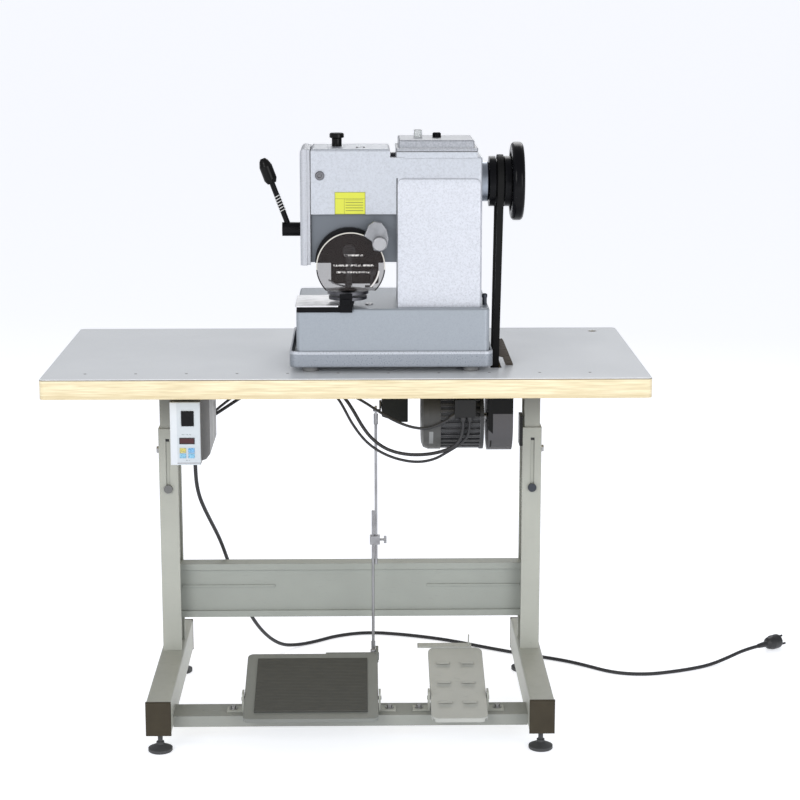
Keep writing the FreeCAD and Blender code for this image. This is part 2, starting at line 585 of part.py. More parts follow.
def lower_rod():
    """The rod from the treadle's stud, with the clamp that joins it to the upper rod."""
    eye = cylinder("rod_eye", "x", "ball_x - eye_width / 2", BALL_Y, BALL_Z, "eye_radius",
                   "eye_width")
    shank = cylinder("rod_shank", "z", "ball_x", BALL_Y, BALL_Z + " + stud_radius + 1",
                     "rod_radius", "lower_rod_top - %s - stud_radius - 1" % BALL_Z)
    bore = cylinder("rod_eye_bore", "x", "ball_x - eye_width / 2 - 1", BALL_Y, BALL_Z,
                    "stud_radius + running_gap", "eye_width + 2")
    collar = cylinder("rod_collar", "z", "ball_x", BALL_Y, BALL_Z + " + eye_radius - 2", 4.4, 16)
    rod = cut("rod_bored", fuse("rod_blank", eye, shank, collar), bore)
    plate = box("clamp_block", "ball_x - rod_radius - 4", BALL_Y + " - 8", "clamp_bottom",
                "4 * rod_radius + rod_gap + 9", 16, "clamp_height")
    screw = cylinder("clamp_screw", "x", UPPER_ROD_X + " + rod_radius + 4", BALL_Y,
                     "clamp_bottom + clamp_height / 2", 2.5, 14)
    wing = box("clamp_wing", UPPER_ROD_X + " + rod_radius + 13", BALL_Y + " - 1.5",
               "clamp_bottom + clamp_height / 2 - 8", 6, 3, 16)
    lower = cylinder("clamp_lower_hole", "z", "ball_x", BALL_Y, "clamp_bottom - 1", "rod_radius",
                     "clamp_height + 2")
    upper = cylinder("clamp_upper_hole", "z", UPPER_ROD_X, BALL_Y, "clamp_bottom - 1",
                     "rod_radius + running_gap", "clamp_height + 2")
    clamp = cut("rod_clamp", fuse("clamp_blank", plate, screw, wing), lower, upper)
    node("lower_rod", group("lower_rod", rod, clamp))


def upper_rod():
    low = "lever_pivot_z - loop_height / 2 - loop_wall"
    shank = cylinder("upper_shank", "z", UPPER_ROD_X, BALL_Y, "upper_rod_bottom", "rod_radius",
                     low + " - upper_rod_bottom + 1")
    sleeve = cylinder("upper_sleeve", "z", UPPER_ROD_X, BALL_Y, low + " - 22", 4.5, 22)
    loop = box("upper_loop", UPPER_ROD_X + " - loop_plate / 2",
               BALL_Y + " - loop_length / 2 - loop_wall", low, "loop_plate",
               "loop_length + 2 * loop_wall", "loop_height + 2 * loop_wall")
    window = box("upper_window", UPPER_ROD_X + " - loop_plate", BALL_Y + " - loop_length / 2",
                 "lever_pivot_z - loop_height / 2", "2 * loop_plate", "loop_length", "loop_height")
    node("upper_rod", cut("upper_rod", fuse("upper_blank", shank, sleeve, loop), window))


def speed_lever():
    """The arm on the speed box: its pin rides in the loop at the top of the rod."""
    x = "speed_box_left - 2 - speed_lever_plate"
    tip_y = "lever_pivot_y - speed_lever_reach"
    plate = box("speed_lever_arm", x, tip_y, "lever_pivot_z - 6", "speed_lever_plate",
                "speed_lever_reach", 12)
    hub = cylinder("speed_lever_hub", "x", x, "lever_pivot_y", "lever_pivot_z",
                   "lever_hub_radius", "speed_lever_plate + 1.7")
    end = cylinder("speed_lever_end", "x", x, tip_y, "lever_pivot_z", 6, "speed_lever_plate")
    pin_left = UPPER_ROD_X + " - loop_plate / 2 - 3"
    pin = cylinder("speed_lever_pin", "x", pin_left, tip_y, "lever_pivot_z", "pin_radius",
                   "%s - (%s) + 1" % (x, pin_left))
    shaft = cylinder("speed_lever_shaft", "x", x, "lever_pivot_y", "lever_pivot_z", 5, 16)
    node("speed_lever", fuse("speed_lever", plate, hub, end, pin, shaft))


def speed_box():
    """The sensor box, its lower corner cut back on the lever's side."""
    case = body_at("speed_case", "speed_box_left", "speed_box_front + speed_box_depth",
                   "speed_box_bottom")
    pad(case, "XZ_Plane", [(0, 12), ("0.6 * speed_box_width", 0), ("speed_box_width", 0),
                           ("speed_box_width", "speed_box_height"), (0, "speed_box_height")],
        "speed_box_depth")
    rounded(case, 2, runs_along(Y))
    bore = cylinder("speed_case_bore", "x", "speed_box_left - 1", "lever_pivot_y",
                    "lever_pivot_z", "5 + running_gap", 14)
    node("speed_box", cut("speed_box", case, bore))


# ---------------------------------------------------------------- table
INNER_WIDTH = "(post_width - 2 * post_wall - 2 * slide_gap)"
INNER_DEPTH = "(post_depth - 2 * post_wall - 2 * slide_gap)"
TABLE_BOTTOM = "(table_top - table_thickness)"
BOLT_Z = "(slot_bottom + slot_width / 2)"


def inner_posts():
    posts = []
    for side, word in SIDES:
        x = side_x(side)
        top = TABLE_BOTTOM + " - arm_height"
        outer, inner, opening = post_section("inner_" + word, side, INNER_WIDTH, INNER_DEPTH,
                                             "inner_opening", x, "post_y", "inner_bottom",
                                             top + " - inner_bottom")
        hole = cylinder("inner_hole_" + word, "y", "%s + %d * slot_shift" % (x, side),
                        "post_y - post_depth / 2", BOLT_Z, "bolt_radius + 0.5", 12)
        tube = cut("inner_tube_" + word, outer, inner, opening, hole)
        arm = box("table_arm_" + word, x + " - post_width / 2", "arm_y - arm_length / 2", top,
                  "post_width", "arm_length", "arm_height")
        posts.append(fuse("inner_post_" + word, tube, arm))
    node("inner_posts", group("inner_posts", *posts))


def slide_bolts():
    """The bolts that slide in the posts' slots and clamp the table at its height."""
    bolts = []
    face = "post_y - post_depth / 2"
    for side, word in SIDES:
        x = "%s + %d * slot_shift" % (side_x(side), side)
        head = cylinder("slide_head_" + word, "y", x, face + " - slide_gap - bolt_head", BOLT_Z,
                        "washer_radius", "bolt_head")
        shank = cylinder("slide_shank_" + word, "y", x, face + " - slide_gap - 1", BOLT_Z,
                         "bolt_radius + 0.5", "3 * slide_gap + 2 * post_wall")
        bolts.append(fuse("slide_bolt_" + word, head, shank))
    return bolts


def belt_x(z):
    """The middle of the belt's width at a height."""
    lean = "(groove_x - motor_pulley_x) / (shaft_z - motor_z)"
    return "(groove_x - %s * (shaft_z - %s))" % (lean, z)


def table_board():
    board = block("board_blank", "table_length", "table_depth", "table_thickness",
                  "-table_length / 2", "table_y - table_depth / 2", TABLE_BOTTOM)
    rounded(board, "table_corner", runs_along(Z))
    rounded(board, "table_round", level_at(Z, size("table_thickness")))
    slot = box("belt_slot", belt_x("table_top") + " - belt_slot_width / 2",
               "shaft_y - belt_slot_length / 2", TABLE_BOTTOM + " - 1", "belt_slot_width",
               "belt_slot_length", "table_thickness + 2")
    hole = cylinder("spool_hole", "z", "spool_hole_x", "spool_hole_y", TABLE_BOTTOM + " - 1",
                    "spool_hole_radius", "table_thickness + 2")
    node("table_board", cut("table_board", board, slot, hole))


def belt_slot_guard():
    """A bent bracket on the table that stands inside the loop of the belt."""
    wing = body_at("guard_wing", belt_x("table_top"), "shaft_y - 18", "table_top")
    pad(wing, "XZ_Plane", [(1, 52), (13, 55), (16, 51), (36, 3), (36, 0), (22, 0), (20, 3),
                           (15, 16), (1, 20)], 3)
    foot = box("guard_foot", belt_x("table_top") + " + 22", "shaft_y - 18", "table_top", 14, 18, 3)
    node("belt_slot_guard", fuse("belt_slot_guard", wing, foot))


# ---------------------------------------------------------------- machine base
def oil_tray():
    z = "table_top + foot_pad_height"
    tray = block("tray", "tray_width", "tray_depth", "tray_height", "tray_left", "tray_front", z)
    rounded(tray, "tray_corner", runs_along(Z))
    rounded(tray, "tray_wall - 1", level_at(Z, 0.0))
    rounded(tray, "tray_wall / 2 - 0.2", level_at(Z, size("tray_height")))
    inside = block("tray_inside", "tray_width - 2 * tray_wall", "tray_depth - 2 * tray_wall",
                   "tray_height", "tray_left + tray_wall", "tray_front + tray_wall",
                   z + " + tray_wall")
    rounded(inside, "tray_corner - tray_wall", runs_along(Z))
    node("oil_tray", cut("oil_tray", tray, inside))


def foot_pads():
    pads = []
    for i, x in enumerate(("tray_left + 40", "tray_left + tray_width - 42")):
        for k, y in enumerate(("tray_front + 32", "tray_front + tray_depth - 32")):
            corners = [(0, 0), ("foot_pad_radius - 2", 0), ("foot_pad_radius", 2),
                       ("foot_pad_radius", "foot_pad_height - 2"),
                       ("foot_pad_radius - 2", "foot_pad_height"), (0, "foot_pad_height")]
            pads.append(turned("pad_%d_%d" % (i, k), corners, x, y, "table_top"))
    node("foot_pads", group("foot_pads", *pads))


def base_casting():
    bottom = "table_top + foot_pad_height + tray_wall"
    base = block("base", "base_width", "base_depth", "base_top - (%s)" % bottom, "base_left",
                 "base_front", bottom)
    rounded(base, "base_corner", runs_along(Z))
    doc.recompute()
    rounded(base, "base_round", level_at(Z, base.Shape.BoundBox.ZMax - base.Placement.Base.z))
    inside = box("base_inside", "base_left + base_wall", "base_front + base_wall", bottom + " - 1",
                 "base_width - 2 * base_wall", "base_depth - 2 * base_wall",
                 "base_top - base_wall - (%s) + 1" % bottom)
    bore = cylinder("base_disc_bore", "z", "disc_x", "disc_y", "base_top - base_wall - 1",
                    "disc_shaft_radius + running_gap", "base_wall + 2")
    node("base_casting", cut("base_casting", base, inside, bore))


def work_plate():
    plate = block("plate_blank", "plate_width", "plate_depth", "plate_thickness", "plate_left",
                  "plate_front", "base_top + strip_height")
    rounded(plate, 6, runs_along(Z))
    rest = box("plate_rest", "plate_left + 6", "base_front + 2", "base_top", "plate_width - 12",
               "plate_depth - 14", "strip_height")
    node("work_plate", fuse("work_plate", plate, rest))


def front_bracket():
    """The dark bracket on the front edge of the base, with the strip under the work plate."""
    low = "base_top - strip_height - 1"
    strip = box("front_strip", "plate_left + 3", "base_front - strip_depth", low,
                "bracket_left - plate_left - 3", "strip_depth", "2 * strip_height")
    post = box("front_post", "bracket_left", "base_front - bracket_depth", low, "bracket_width",
               "bracket_depth", "bracket_top - (%s)" % low)
    jaw = box("front_jaw", "bracket_left + 4", "base_front - bracket_depth - 3",
              "bracket_top - 22", "bracket_width - 8", 3.5, 12)
    node("front_bracket", fuse("front_bracket", strip, post, jaw))


# ---------------------------------------------------------------- machine head
def head_casting():
    head = block("head_block", "head_right - head_left", "head_depth", "head_top - head_bottom",
                 "head_left", "head_front", "head_bottom")
    rounded(head, "head_round", level_at(Z, size("head_top") - size("head_bottom")))
    column = block("column_block", "column_right - column_left", "column_depth",
                   "column_top - base_top", "column_left", "column_front", "base_top")
    rounded(column, "column_round", runs_along(Z))
    rounded(column, "column_round", level_at(Z, size("column_top") - size("base_top")))
    raised = block("raised_front", "column_right - column_left - raised_inset",
                   "raised_panel + column_round", "raised_top - base_top", "column_left",
                   "column_front - raised_panel", "base_top")
    rounded(raised, "raised_round", lambda edge: runs_along(Y)(edge)
            and edge.valueAt(edge.FirstParameter).z > 1)
    rounded(raised, "raised_panel / 2", lambda edge: level_at(Y, 0.0)(edge)
            and edge.valueAt(edge.FirstParameter).z + edge.valueAt(edge.LastParameter).z > 1)
    neck = box("neck_block", "head_right - 12", "head_front", "head_bottom",
               "column_left - head_right + 24", "head_depth", "neck_top - head_bottom")
    rim = box("column_rim", "flange_left + rim_inset / 2", "lid_front - rim_inset",
              "column_top - 12", "flange_width - rim_inset", "lid_depth + 2 * rim_inset",
              "rim_top - column_top + 12")
    boss = cylinder("guard_boss", "y", "pivot_x", "guard_front + guard_thickness + 1", "pivot_z",
                    10, "head_front + band_recess - guard_front - guard_thickness - 1")
    band = box("band_cut", "head_left - 1", "head_front - 1", "head_bottom - 1",
               "column_left - head_left + 1", "band_recess + 1", "band_height + 1")
    wall = "casting_wall"
    hollow = box("head_hollow", "head_left - 1", "head_front + band_recess + " + wall,
                 "head_bottom + " + wall, "head_right - head_left + 1 - " + wall,
                 "head_depth - band_recess - 2 * " + wall,
                 "head_top - head_bottom - 2 * " + wall)
    well = box("column_hollow", "column_left + " + wall, "column_front + " + wall,
               "base_top + " + wall, "column_right - column_left - 2 * " + wall,
               "column_depth - 2 * " + wall, "rim_top - base_top")
    bore = cylinder("shaft_bore", "x", "head_right - %s - 1" % wall, "shaft_y", "shaft_z",
                    "shaft_radius + running_gap", "column_left - head_right + 2 * %s + 2" % wall)
    seat = cylinder("collar_seat", "x", "column_right - %s - 1" % wall, "shaft_y", "shaft_z",
                    "shaft_radius + 12", wall + " + 2")
    needle_bore = cylinder("needle_bore", "y", "works_x", "head_front + band_recess - 1",
                           "needle_z", "disc_shaft_radius + running_gap", wall + " + 2")
    thumb_bore = cylinder("thumb_bore", "y", "pivot_x", "guard_front", "pivot_z",
                          "pivot_radius + running_gap", 34)
    knob_bore = cylinder("knob_bore", "z", "top_knob_x", "shaft_y", "head_top - %s - 1" % wall,
                         "top_shank_radius + running_gap", wall + " + 2")
    solid = cut("head_solid", fuse("head_blank", head, column, raised, neck, rim), band)
    node("head_casting", cut("head_casting", fuse("head_bossed", solid, boss), hollow, well, bore,
                             seat, needle_bore, thumb_bore, knob_bore))


def face_cover():
    height = "head_top - cover_bottom"
    length = "head_left - seam_gap - cover_seam - cover_left"
    cover = block("cover_blank", length, "head_depth", height, "cover_left", "head_front",
                  "cover_bottom")
    rounded(cover, "cover_round", lambda edge: level_at(X, 0.0)(edge)
            and edge.valueAt(edge.FirstParameter).z + edge.valueAt(edge.LastParameter).z > 1)
    seam = box("cover_seam_strip", "head_left - seam_gap - cover_seam", "head_front + 1.2",
               "cover_bottom + 1.2", "cover_seam", "head_depth - 2.4", height + " - 2.4")
    hollow = box("cover_hollow", "cover_left + cover_wall", "head_front + cover_wall + 1.2",
                 "cover_bottom + cover_wall + 1.2", "head_left - cover_left",
                 "head_depth - 2 * cover_wall - 2.4", height + " - 2 * cover_wall - 2.4")
    bore = cylinder("cover_bore", "x", "cover_left - 1", "shaft_y", "lever_z",
                    "lever_stub_radius + running_gap", "cover_wall + 2")
    node("face_cover", cut("face_cover", fuse("cover_whole", cover, seam), hollow, bore))


def column_lid():
    lid = block("lid_blank", "lid_width", "lid_depth",
                "lid_top - flange_bottom - flange_thickness + 1", "lid_left", "lid_front",
                "flange_bottom + flange_thickness - 1")
    rounded(lid, "lid_round", runs_along(Z))
    doc.recompute()
    rounded(lid, "lid_round - 1", level_at(Z, lid.Shape.BoundBox.ZMax - lid.Placement.Base.z))
    flange = block("lid_flange", "flange_width", "lid_depth + 2 * rim_inset + 2",
                   "flange_thickness", "flange_left", "lid_front - rim_inset - 1", "flange_bottom")
    rounded(flange, "lid_round", runs_along(Z))
    hollow = box("lid_hollow", "lid_left + lid_wall", "lid_front + lid_wall", "flange_bottom - 1",
                 "lid_width - 2 * lid_wall", "lid_depth - 2 * lid_wall",
                 "lid_top - flange_bottom - lid_wall + 1")
    cap = cut("lid_cap", fuse("lid_whole", lid, flange), hollow)
    gasket = box("gasket_blank", "flange_left + 1", "lid_front - rim_inset", "rim_top",
                 "flange_width - 2", "lid_depth + 2 * rim_inset", "flange_bottom - rim_top")
    opening = box("gasket_opening", "lid_left + 6", "lid_front + 6", "rim_top - 1",
                  "lid_width - 12", "lid_depth - 12", 4)
    node("column_lid", group("column_lid", cap, cut("lid_gasket", gasket, opening)))


def sight_cup():
    corners = [(0, "cup_height"), (0, "cup_height - 1.5"), ("cup_radius - 2", "cup_height - 1.5"),
               ("cup_radius - 2", 0), ("cup_radius", 0), ("cup_radius", "cup_height - 1.5"),
               ("cup_radius - 1.5", "cup_height")]
    node("sight_cup", group("sight_cup", turned("cup", corners, "cup_x", "shaft_y", "lid_top")))


def fasteners():
    """The screws of the table and head: slide bolts, lid knob, oil plug, screws and corner nut."""
    r, h = "lid_knob_radius", "lid_knob_height"
    knob = turned("lid_knob", [(0, 0), (r, 0), (r, h + " - 2"), (r + " - 2", h), (0, h)],
                  "lid_knob_x", "shaft_y", "lid_top")
    plug = turned("plug_screw", [(0, 0), ("plug_radius", 0), ("plug_radius", 2),
                                 ("plug_radius - 1.5", 4), ("plug_radius / 2", 4),
                                 ("plug_radius / 2 - 1", 1.5), (0, 1.5)],
                  "plug_x", "head_front", "plug_z", FreeCAD.Rotation(X, 90))
    flat = turned("base_screw", [(0, 0), (8, 0), (7, 2.5), (3, 2.5), (3, 1.2), (0, 1.2)],
                  "disc_x + 42", "disc_y + 16", "base_top")
    corner = turned("corner_nut", [(0, 0), (4.5, 0), (4.5, 14), (5.5, 14), (5.5, 20), (3, 22),
                                   (0, 22)], "base_left + base_width - 7", "shaft_y - 40",
                    "base_top")
    clip = block("neck_clip", 10, 20, 7, "column_left - 13", "shaft_y - 45", "neck_top")
    oil = [turned("oil_plug_%d" % i, [(0, 0), (r, 0), (r, 1), (r + " - 0.6", 1.6), (0, 1.6)],
                  "works_x + %d" % x, "head_front + 34", "head_top")
           for i, (x, r) in enumerate(((16, "2"), (22, "3"), (30, "2")))]
    node("fasteners", group("fasteners", knob, plug, flat, corner, clip, *oil, *slide_bolts()))


def top_knob():
    r, stem, height = "top_knob_radius", "top_stem_radius", "top_knob_height"
    deep = "-casting_wall - 4"
    corners = [(0, deep), ("top_shank_radius", deep), ("top_shank_radius", 0), (stem, 0),
               (stem, height + " - 11"), (r, height + " - 9"), (r, height + " - 2"),
               (r + " - 2", height), (0, height)]
    node("top_knob", group("top_knob", turned("top_knob_body", corners, "top_knob_x", "shaft_y",
                                              "head_top + slide_gap / 2")))


# ---------------------------------------------------------------- drive
def shaft_collar():
    corners = [("shaft_radius + running_gap", "-casting_wall"), ("shaft_radius + 12",
               "-casting_wall"), ("shaft_radius + 12", 0), ("collar_radius", 0),
               ("collar_radius", "collar_length - 3"), ("collar_radius - 3", "collar_length"),
               ("shaft_radius + running_gap", "collar_length")]
    node("shaft_collar", group("shaft_collar", turned("collar", corners, "column_right",
                                                      "shaft_y", "shaft_z", LYING["x"])))


def main_shaft():
    end = "pulley_left + pulley_length + wheel_gap + wheel_width - 4"
    shaft = cylinder("shaft_bar", "x", "shaft_left", "shaft_y", "shaft_z", "shaft_radius",
                     end + " - shaft_left")
    crank = cylinder("shaft_crank", "x", "shaft_left", "shaft_y", "shaft_z",
                     "shaft_radius + 14", 10)
    pin = cylinder("shaft_crank_pin", "x", "shaft_left - 10", "shaft_y", "shaft_z + 14", 5, 12)
    node("main_shaft", fuse("main_shaft", shaft, crank, pin))


def grooved_wheel(name, bore, radius, left, length, groove_middle, y, z):
    """A belt wheel: a cylinder with one groove."""
    middle = "%s - %s" % (groove_middle, left)
    floor = "%s - groove_depth" % radius
    corners = [(bore, 0), (radius, 0), (radius, middle + " - groove_width / 2"),
               (floor, middle + " - groove_width / 2 + 1"),
               (floor, middle + " + groove_width / 2 - 1"),
               (radius, middle + " + groove_width / 2"), (radius, length), (bore, length)]
    return turned(name, corners, left, y, z, LYING["x"])


def belt_wheels():
    wheel = grooved_wheel("pulley_body", "shaft_radius", "pulley_radius", "pulley_left",
                          "pulley_length", "groove_x", "shaft_y", "shaft_z")
    node("pulley", group("pulley", wheel))
    small = grooved_wheel("motor_wheel", "7", "motor_pulley_radius", "(motor_pulley_x - 10.5)",
                          "21", "motor_pulley_x", "motor_y", "motor_z")
    axle = cylinder("motor_axle", "x", "motor_left + 40", "motor_y", "motor_z", 7,
                    "motor_pulley_x + 14 - motor_left - 40")
    node("motor_pulley", group("motor_pulley", small, axle))


def handwheel():
    rim, width = "wheel_radius - rim_depth", "wheel_width"
    web = "wheel_width / 2 - web_thickness / 2"
    corners = [("shaft_radius", 0), ("hub_radius", 0), ("hub_radius", web), (rim, web), (rim, 0),
               ("wheel_radius", 0), ("wheel_radius", width), (rim, width),
               (rim, web + " + web_thickness"), ("hub_radius", web + " + web_thickness"),
               ("hub_radius", width), ("shaft_radius", width)]
    wheel = turned("wheel", corners, "pulley_left + pulley_length + wheel_gap", "shaft_y",
                   "shaft_z", LYING["x"])
    outer = size("wheel_radius")
    rounded(wheel, "rim_round", lambda edge: edge.Curve.TypeId == "Part::GeomCircle"
            and abs(edge.Curve.Radius - outer) < 1e-4)
    node("handwheel", group("handwheel", wheel))


def loop_face(big, small, distance, x):
    """The face inside a tight loop round two circles, across X, the small one below."""
    slope = math.asin((big - small) / distance)
    across, up = math.cos(slope), -math.sin(slope)
    def spot(radius, side, drop):
        return FreeCAD.Vector(x, side * radius * across, radius * up - drop)
    top = Part.Arc(spot(big, -1, 0), FreeCAD.Vector(x, 0, big), spot(big, 1, 0))
    low = Part.Arc(spot(small, 1, distance), FreeCAD.Vector(x, 0, -small - distance),
                   spot(small, -1, distance))
    sides = (Part.LineSegment(spot(big, 1, 0), spot(small, 1, distance)),
             Part.LineSegment(spot(small, -1, distance), spot(big, -1, 0)))
    return Part.Face(Part.Wire([top.toShape(), sides[0].toShape(), low.toShape(),
                                sides[1].toShape()]))


def belt():
    """The belt, tight round both wheels and leaning with them."""
    lean = size("groove_x") - size("motor_pulley_x")
    drop = size("shaft_z") - size("motor_z")
    distance = math.hypot(lean, drop)
    ease = size("belt_gap") - size("groove_depth")
    big, small = size("pulley_radius") + ease, size("motor_pulley_radius") + ease
    height, width = size("belt_height"), size("belt_width")
    outer = loop_face(big + height, small + height, distance, -width / 2)
    inner = loop_face(big, small, distance, -width / 2)
    band = outer.cut(inner).extrude(FreeCAD.Vector(width, 0, 0))
    piece = doc.addObject("Part::Feature", "belt")
    piece.Shape = band
    piece.Placement = FreeCAD.Placement(
        FreeCAD.Vector(size("groove_x"), size("shaft_y"), size("shaft_z")),
        FreeCAD.Rotation(Y, math.degrees(math.atan2(lean, drop))))
    node("belt", piece)


# ---------------------------------------------------------------- hand lever
def hand_lever():
    shaft = cylinder("lever_shaft", "x", "lever_shaft_left", "shaft_y", "lever_z",
                     "lever_shaft_radius", "cover_left - slide_gap / 2 - lever_shaft_left")
    stub = cylinder("lever_stub", "x", "cover_left - 2", "shaft_y", "lever_z",
                    "lever_stub_radius", 34)
    lean = FreeCAD.Rotation(Y, -size("lever_lean"))
    rod = turned("lever_rod", [(0, 0), ("lever_rod_radius", 0), ("lever_rod_radius",
                 "knob_start + 8"), (0, "knob_start + 8")], "lever_x", "shaft_y", "lever_z", lean)
    node("hand_lever", fuse("hand_lever", shaft, stub, rod))
    r, low, top = "knob_radius", "knob_start", "knob_start + knob_length"
    bore = "lever_rod_radius"
    grip = turned("lever_grip", [(bore, low), ("knob_radius - 4", low), (r, low + " + 8"),
                                 (r, top + " - 16"), (r + " - 4", top + " - 5"),
                                 (r + " - 8", top), (0, top), (0, low + " + 8"),
                                 (bore, low + " + 8")], "lever_x", "shaft_y", "lever_z", lean)
    node("lever_knob", group("lever_knob", grip))


# ---------------------------------------------------------------- needle, discs and guard
def needle_housing():
    """The dark housing set in the recess of the head, with the block that hangs below it."""
    back = "head_front + band_recess"
    disc = cylinder("housing_disc", "y", "works_x", back + " - housing_thickness", "housing_z",
                    "housing_radius", "housing_thickness")
    below = box("housing_below", "works_x - 90", back + " - 20", "head_bottom - 120", 180, 40, 120)
    half = cut("housing_half", disc, below)
    hang = block("housing_block", "block_right - block_left", "block_depth",
                 "head_bottom - block_bottom", "block_left", back + " - housing_thickness",
                 "block_bottom")
    rounded(hang, 5, level_at(Z, 0.0))
    needle_bore = cylinder("housing_needle_bore", "y", "works_x", back + " - 20", "needle_z",
                           "disc_shaft_radius + running_gap", 40)
    disc_bore = cylinder("housing_disc_bore", "z", "disc_x", "disc_y", "block_bottom - 1",
                         "disc_shaft_radius + running_gap", 36)
    boss = cylinder("housing_boss_room", "y", "pivot_x", back + " - 20", "pivot_z", 10.3, 30)
    looper = cylinder("housing_looper_bore", "y", "works_x + 46", back + " - 20",
                      "block_bottom + 24", "3 + running_gap", 36)
    node("needle_housing", cut("needle_housing", fuse("housing_whole", half, hang), needle_bore,
                               disc_bore, boss, looper))


def needle_arm():
    front = "head_front + band_recess - housing_thickness - 9.5"
    hub = cylinder("needle_hub", "y", "works_x", front, "needle_z", 13, 8)
    shaft = cylinder("needle_shaft", "y", "works_x", front + " + 1", "needle_z",
                     "disc_shaft_radius", 84)
    arm = box("needle_arm_bar", "works_x - 6", front, "needle_z - needle_radius + 2", 12, 8,
              "needle_radius - 2")
    clamp = cylinder("needle_clamp", "y", "works_x", front + " - 2",
                     "needle_z - needle_radius + 8", 5, 3)
    node("needle_arm", fuse("needle_arm", hub, shaft, arm, clamp))


def needle():
    """The curved needle: a round bar along an arc about the needle shaft."""
    ring = doc.addObject("Part::Torus", "needle_ring")
    bind(ring, Radius1="needle_radius", Radius2="needle_thickness / 2")
    ring.Angle3 = 36
    y = "head_front + band_recess - housing_thickness - 5.5"
    turn = FreeCAD.Rotation(X, 90).multiply(FreeCAD.Rotation(Z, 234))
    place(ring, "works_x", y, "needle_z", turn)
    room = box("needle_room", "works_x - 6", "head_front - 20", "needle_z - needle_radius - 6", 40,
               60, 60)
    node("needle", cut("needle", ring, room))


def looper():
    front = "head_front + band_recess - housing_thickness - 9.5"
    x, z = "works_x + 46", "block_bottom + 24"
    hub = cylinder("looper_hub", "y", x, front, z, 7, 8)
    stub = cylinder("looper_stub", "y", x, front + " + 4", z, 3, 24)
    finger = box("looper_finger", x + " - 5", front + " + 2", "block_bottom - 6", 6, 4,
                 "24 + 6")
    hook = box("looper_hook", x + " - 15", front + " + 2", "block_bottom - 6", 12, 4, 4)
    node("looper", fuse("looper", hub, stub, finger, hook))


def feed_discs():
    upper = cylinder("upper_disc_plate", "z", "disc_x", "disc_y", "upper_disc_z", "disc_radius",
                     "disc_thickness")
    spindle = cylinder("upper_disc_spindle", "z", "disc_x", "disc_y", "upper_disc_z",
                       "disc_shaft_radius", "block_bottom + 30 - upper_disc_z")
    cup = cone("upper_disc_cup", "z", "disc_x", "disc_y", "upper_disc_z + disc_thickness",
               "disc_radius / 2", "disc_radius / 3", 5)
    node("upper_feed_disc", fuse("upper_feed_disc", upper, spindle, cup))
    lower = cylinder("lower_disc_plate", "z", "disc_x", "disc_y", "lower_disc_z",
                     "disc_radius - 3", "disc_thickness")
    axle = cylinder("lower_disc_spindle", "z", "disc_x", "disc_y", "base_top - 40",
                    "disc_shaft_radius", "lower_disc_z - base_top + 40")
    hub = cone("lower_disc_hub", "z", "disc_x", "disc_y", "base_top + 1", 11, 15,
               "lower_disc_z - base_top - 1")
    node("lower_feed_disc", fuse("lower_feed_disc", lower, axle, hub))


def guard():
    shield = cylinder("shield_disc", "y", "works_x + 3", "guard_front", "guard_z", "guard_radius",
                      "guard_thickness")
    lug = cylinder("shield_lug", "y", "pivot_x", "guard_front", "pivot_z", 14, "guard_thickness")
    chord = box("shield_chord", "works_x - 90", "guard_front - 1", "guard_chord - 60", 190,
                "guard_thickness + 2", 60)
    hole = cylinder("shield_hole", "y", "pivot_x", "guard_front - 1", "pivot_z",
                    "pivot_radius + running_gap", "guard_thickness + 2")
    node("guard_shield", cut("guard_shield", fuse("shield_whole", shield, lug), chord, hole))
    arm = body_at("guard_arm_blank", "pivot_x", "guard_front", "pivot_z")
    pad(arm, "XZ_Plane", [(-12, -14), (3, -17), (14, -10), (18, 8), (14, 28), (4, 41), (-10, 44),
                          (-22, 36), (-31, 14), (-16, 4)], 8)
    rounded(arm, 2.5, level_at(Y, -8.0))
    bore = cylinder("guard_arm_bore", "y", "pivot_x", "guard_front - 10", "pivot_z",
                    "pivot_radius + running_gap", 12)
    node("guard_arm", cut("guard_arm", arm, bore))
    r = "thumb_radius"
    start, end = "8 + slide_gap / 2", "8 + slide_gap / 2 + thumb_length"
    corners = [(0, -26), ("pivot_radius", -26), ("pivot_radius", start), (r, start),
               (r, end + " - 2"), (r + " - 2", end), (0, end)]
    node("guard_knob", group("guard_knob", turned("thumb", corners, "pivot_x", "guard_front",
                                                  "pivot_z", FreeCAD.Rotation(X, 90))))


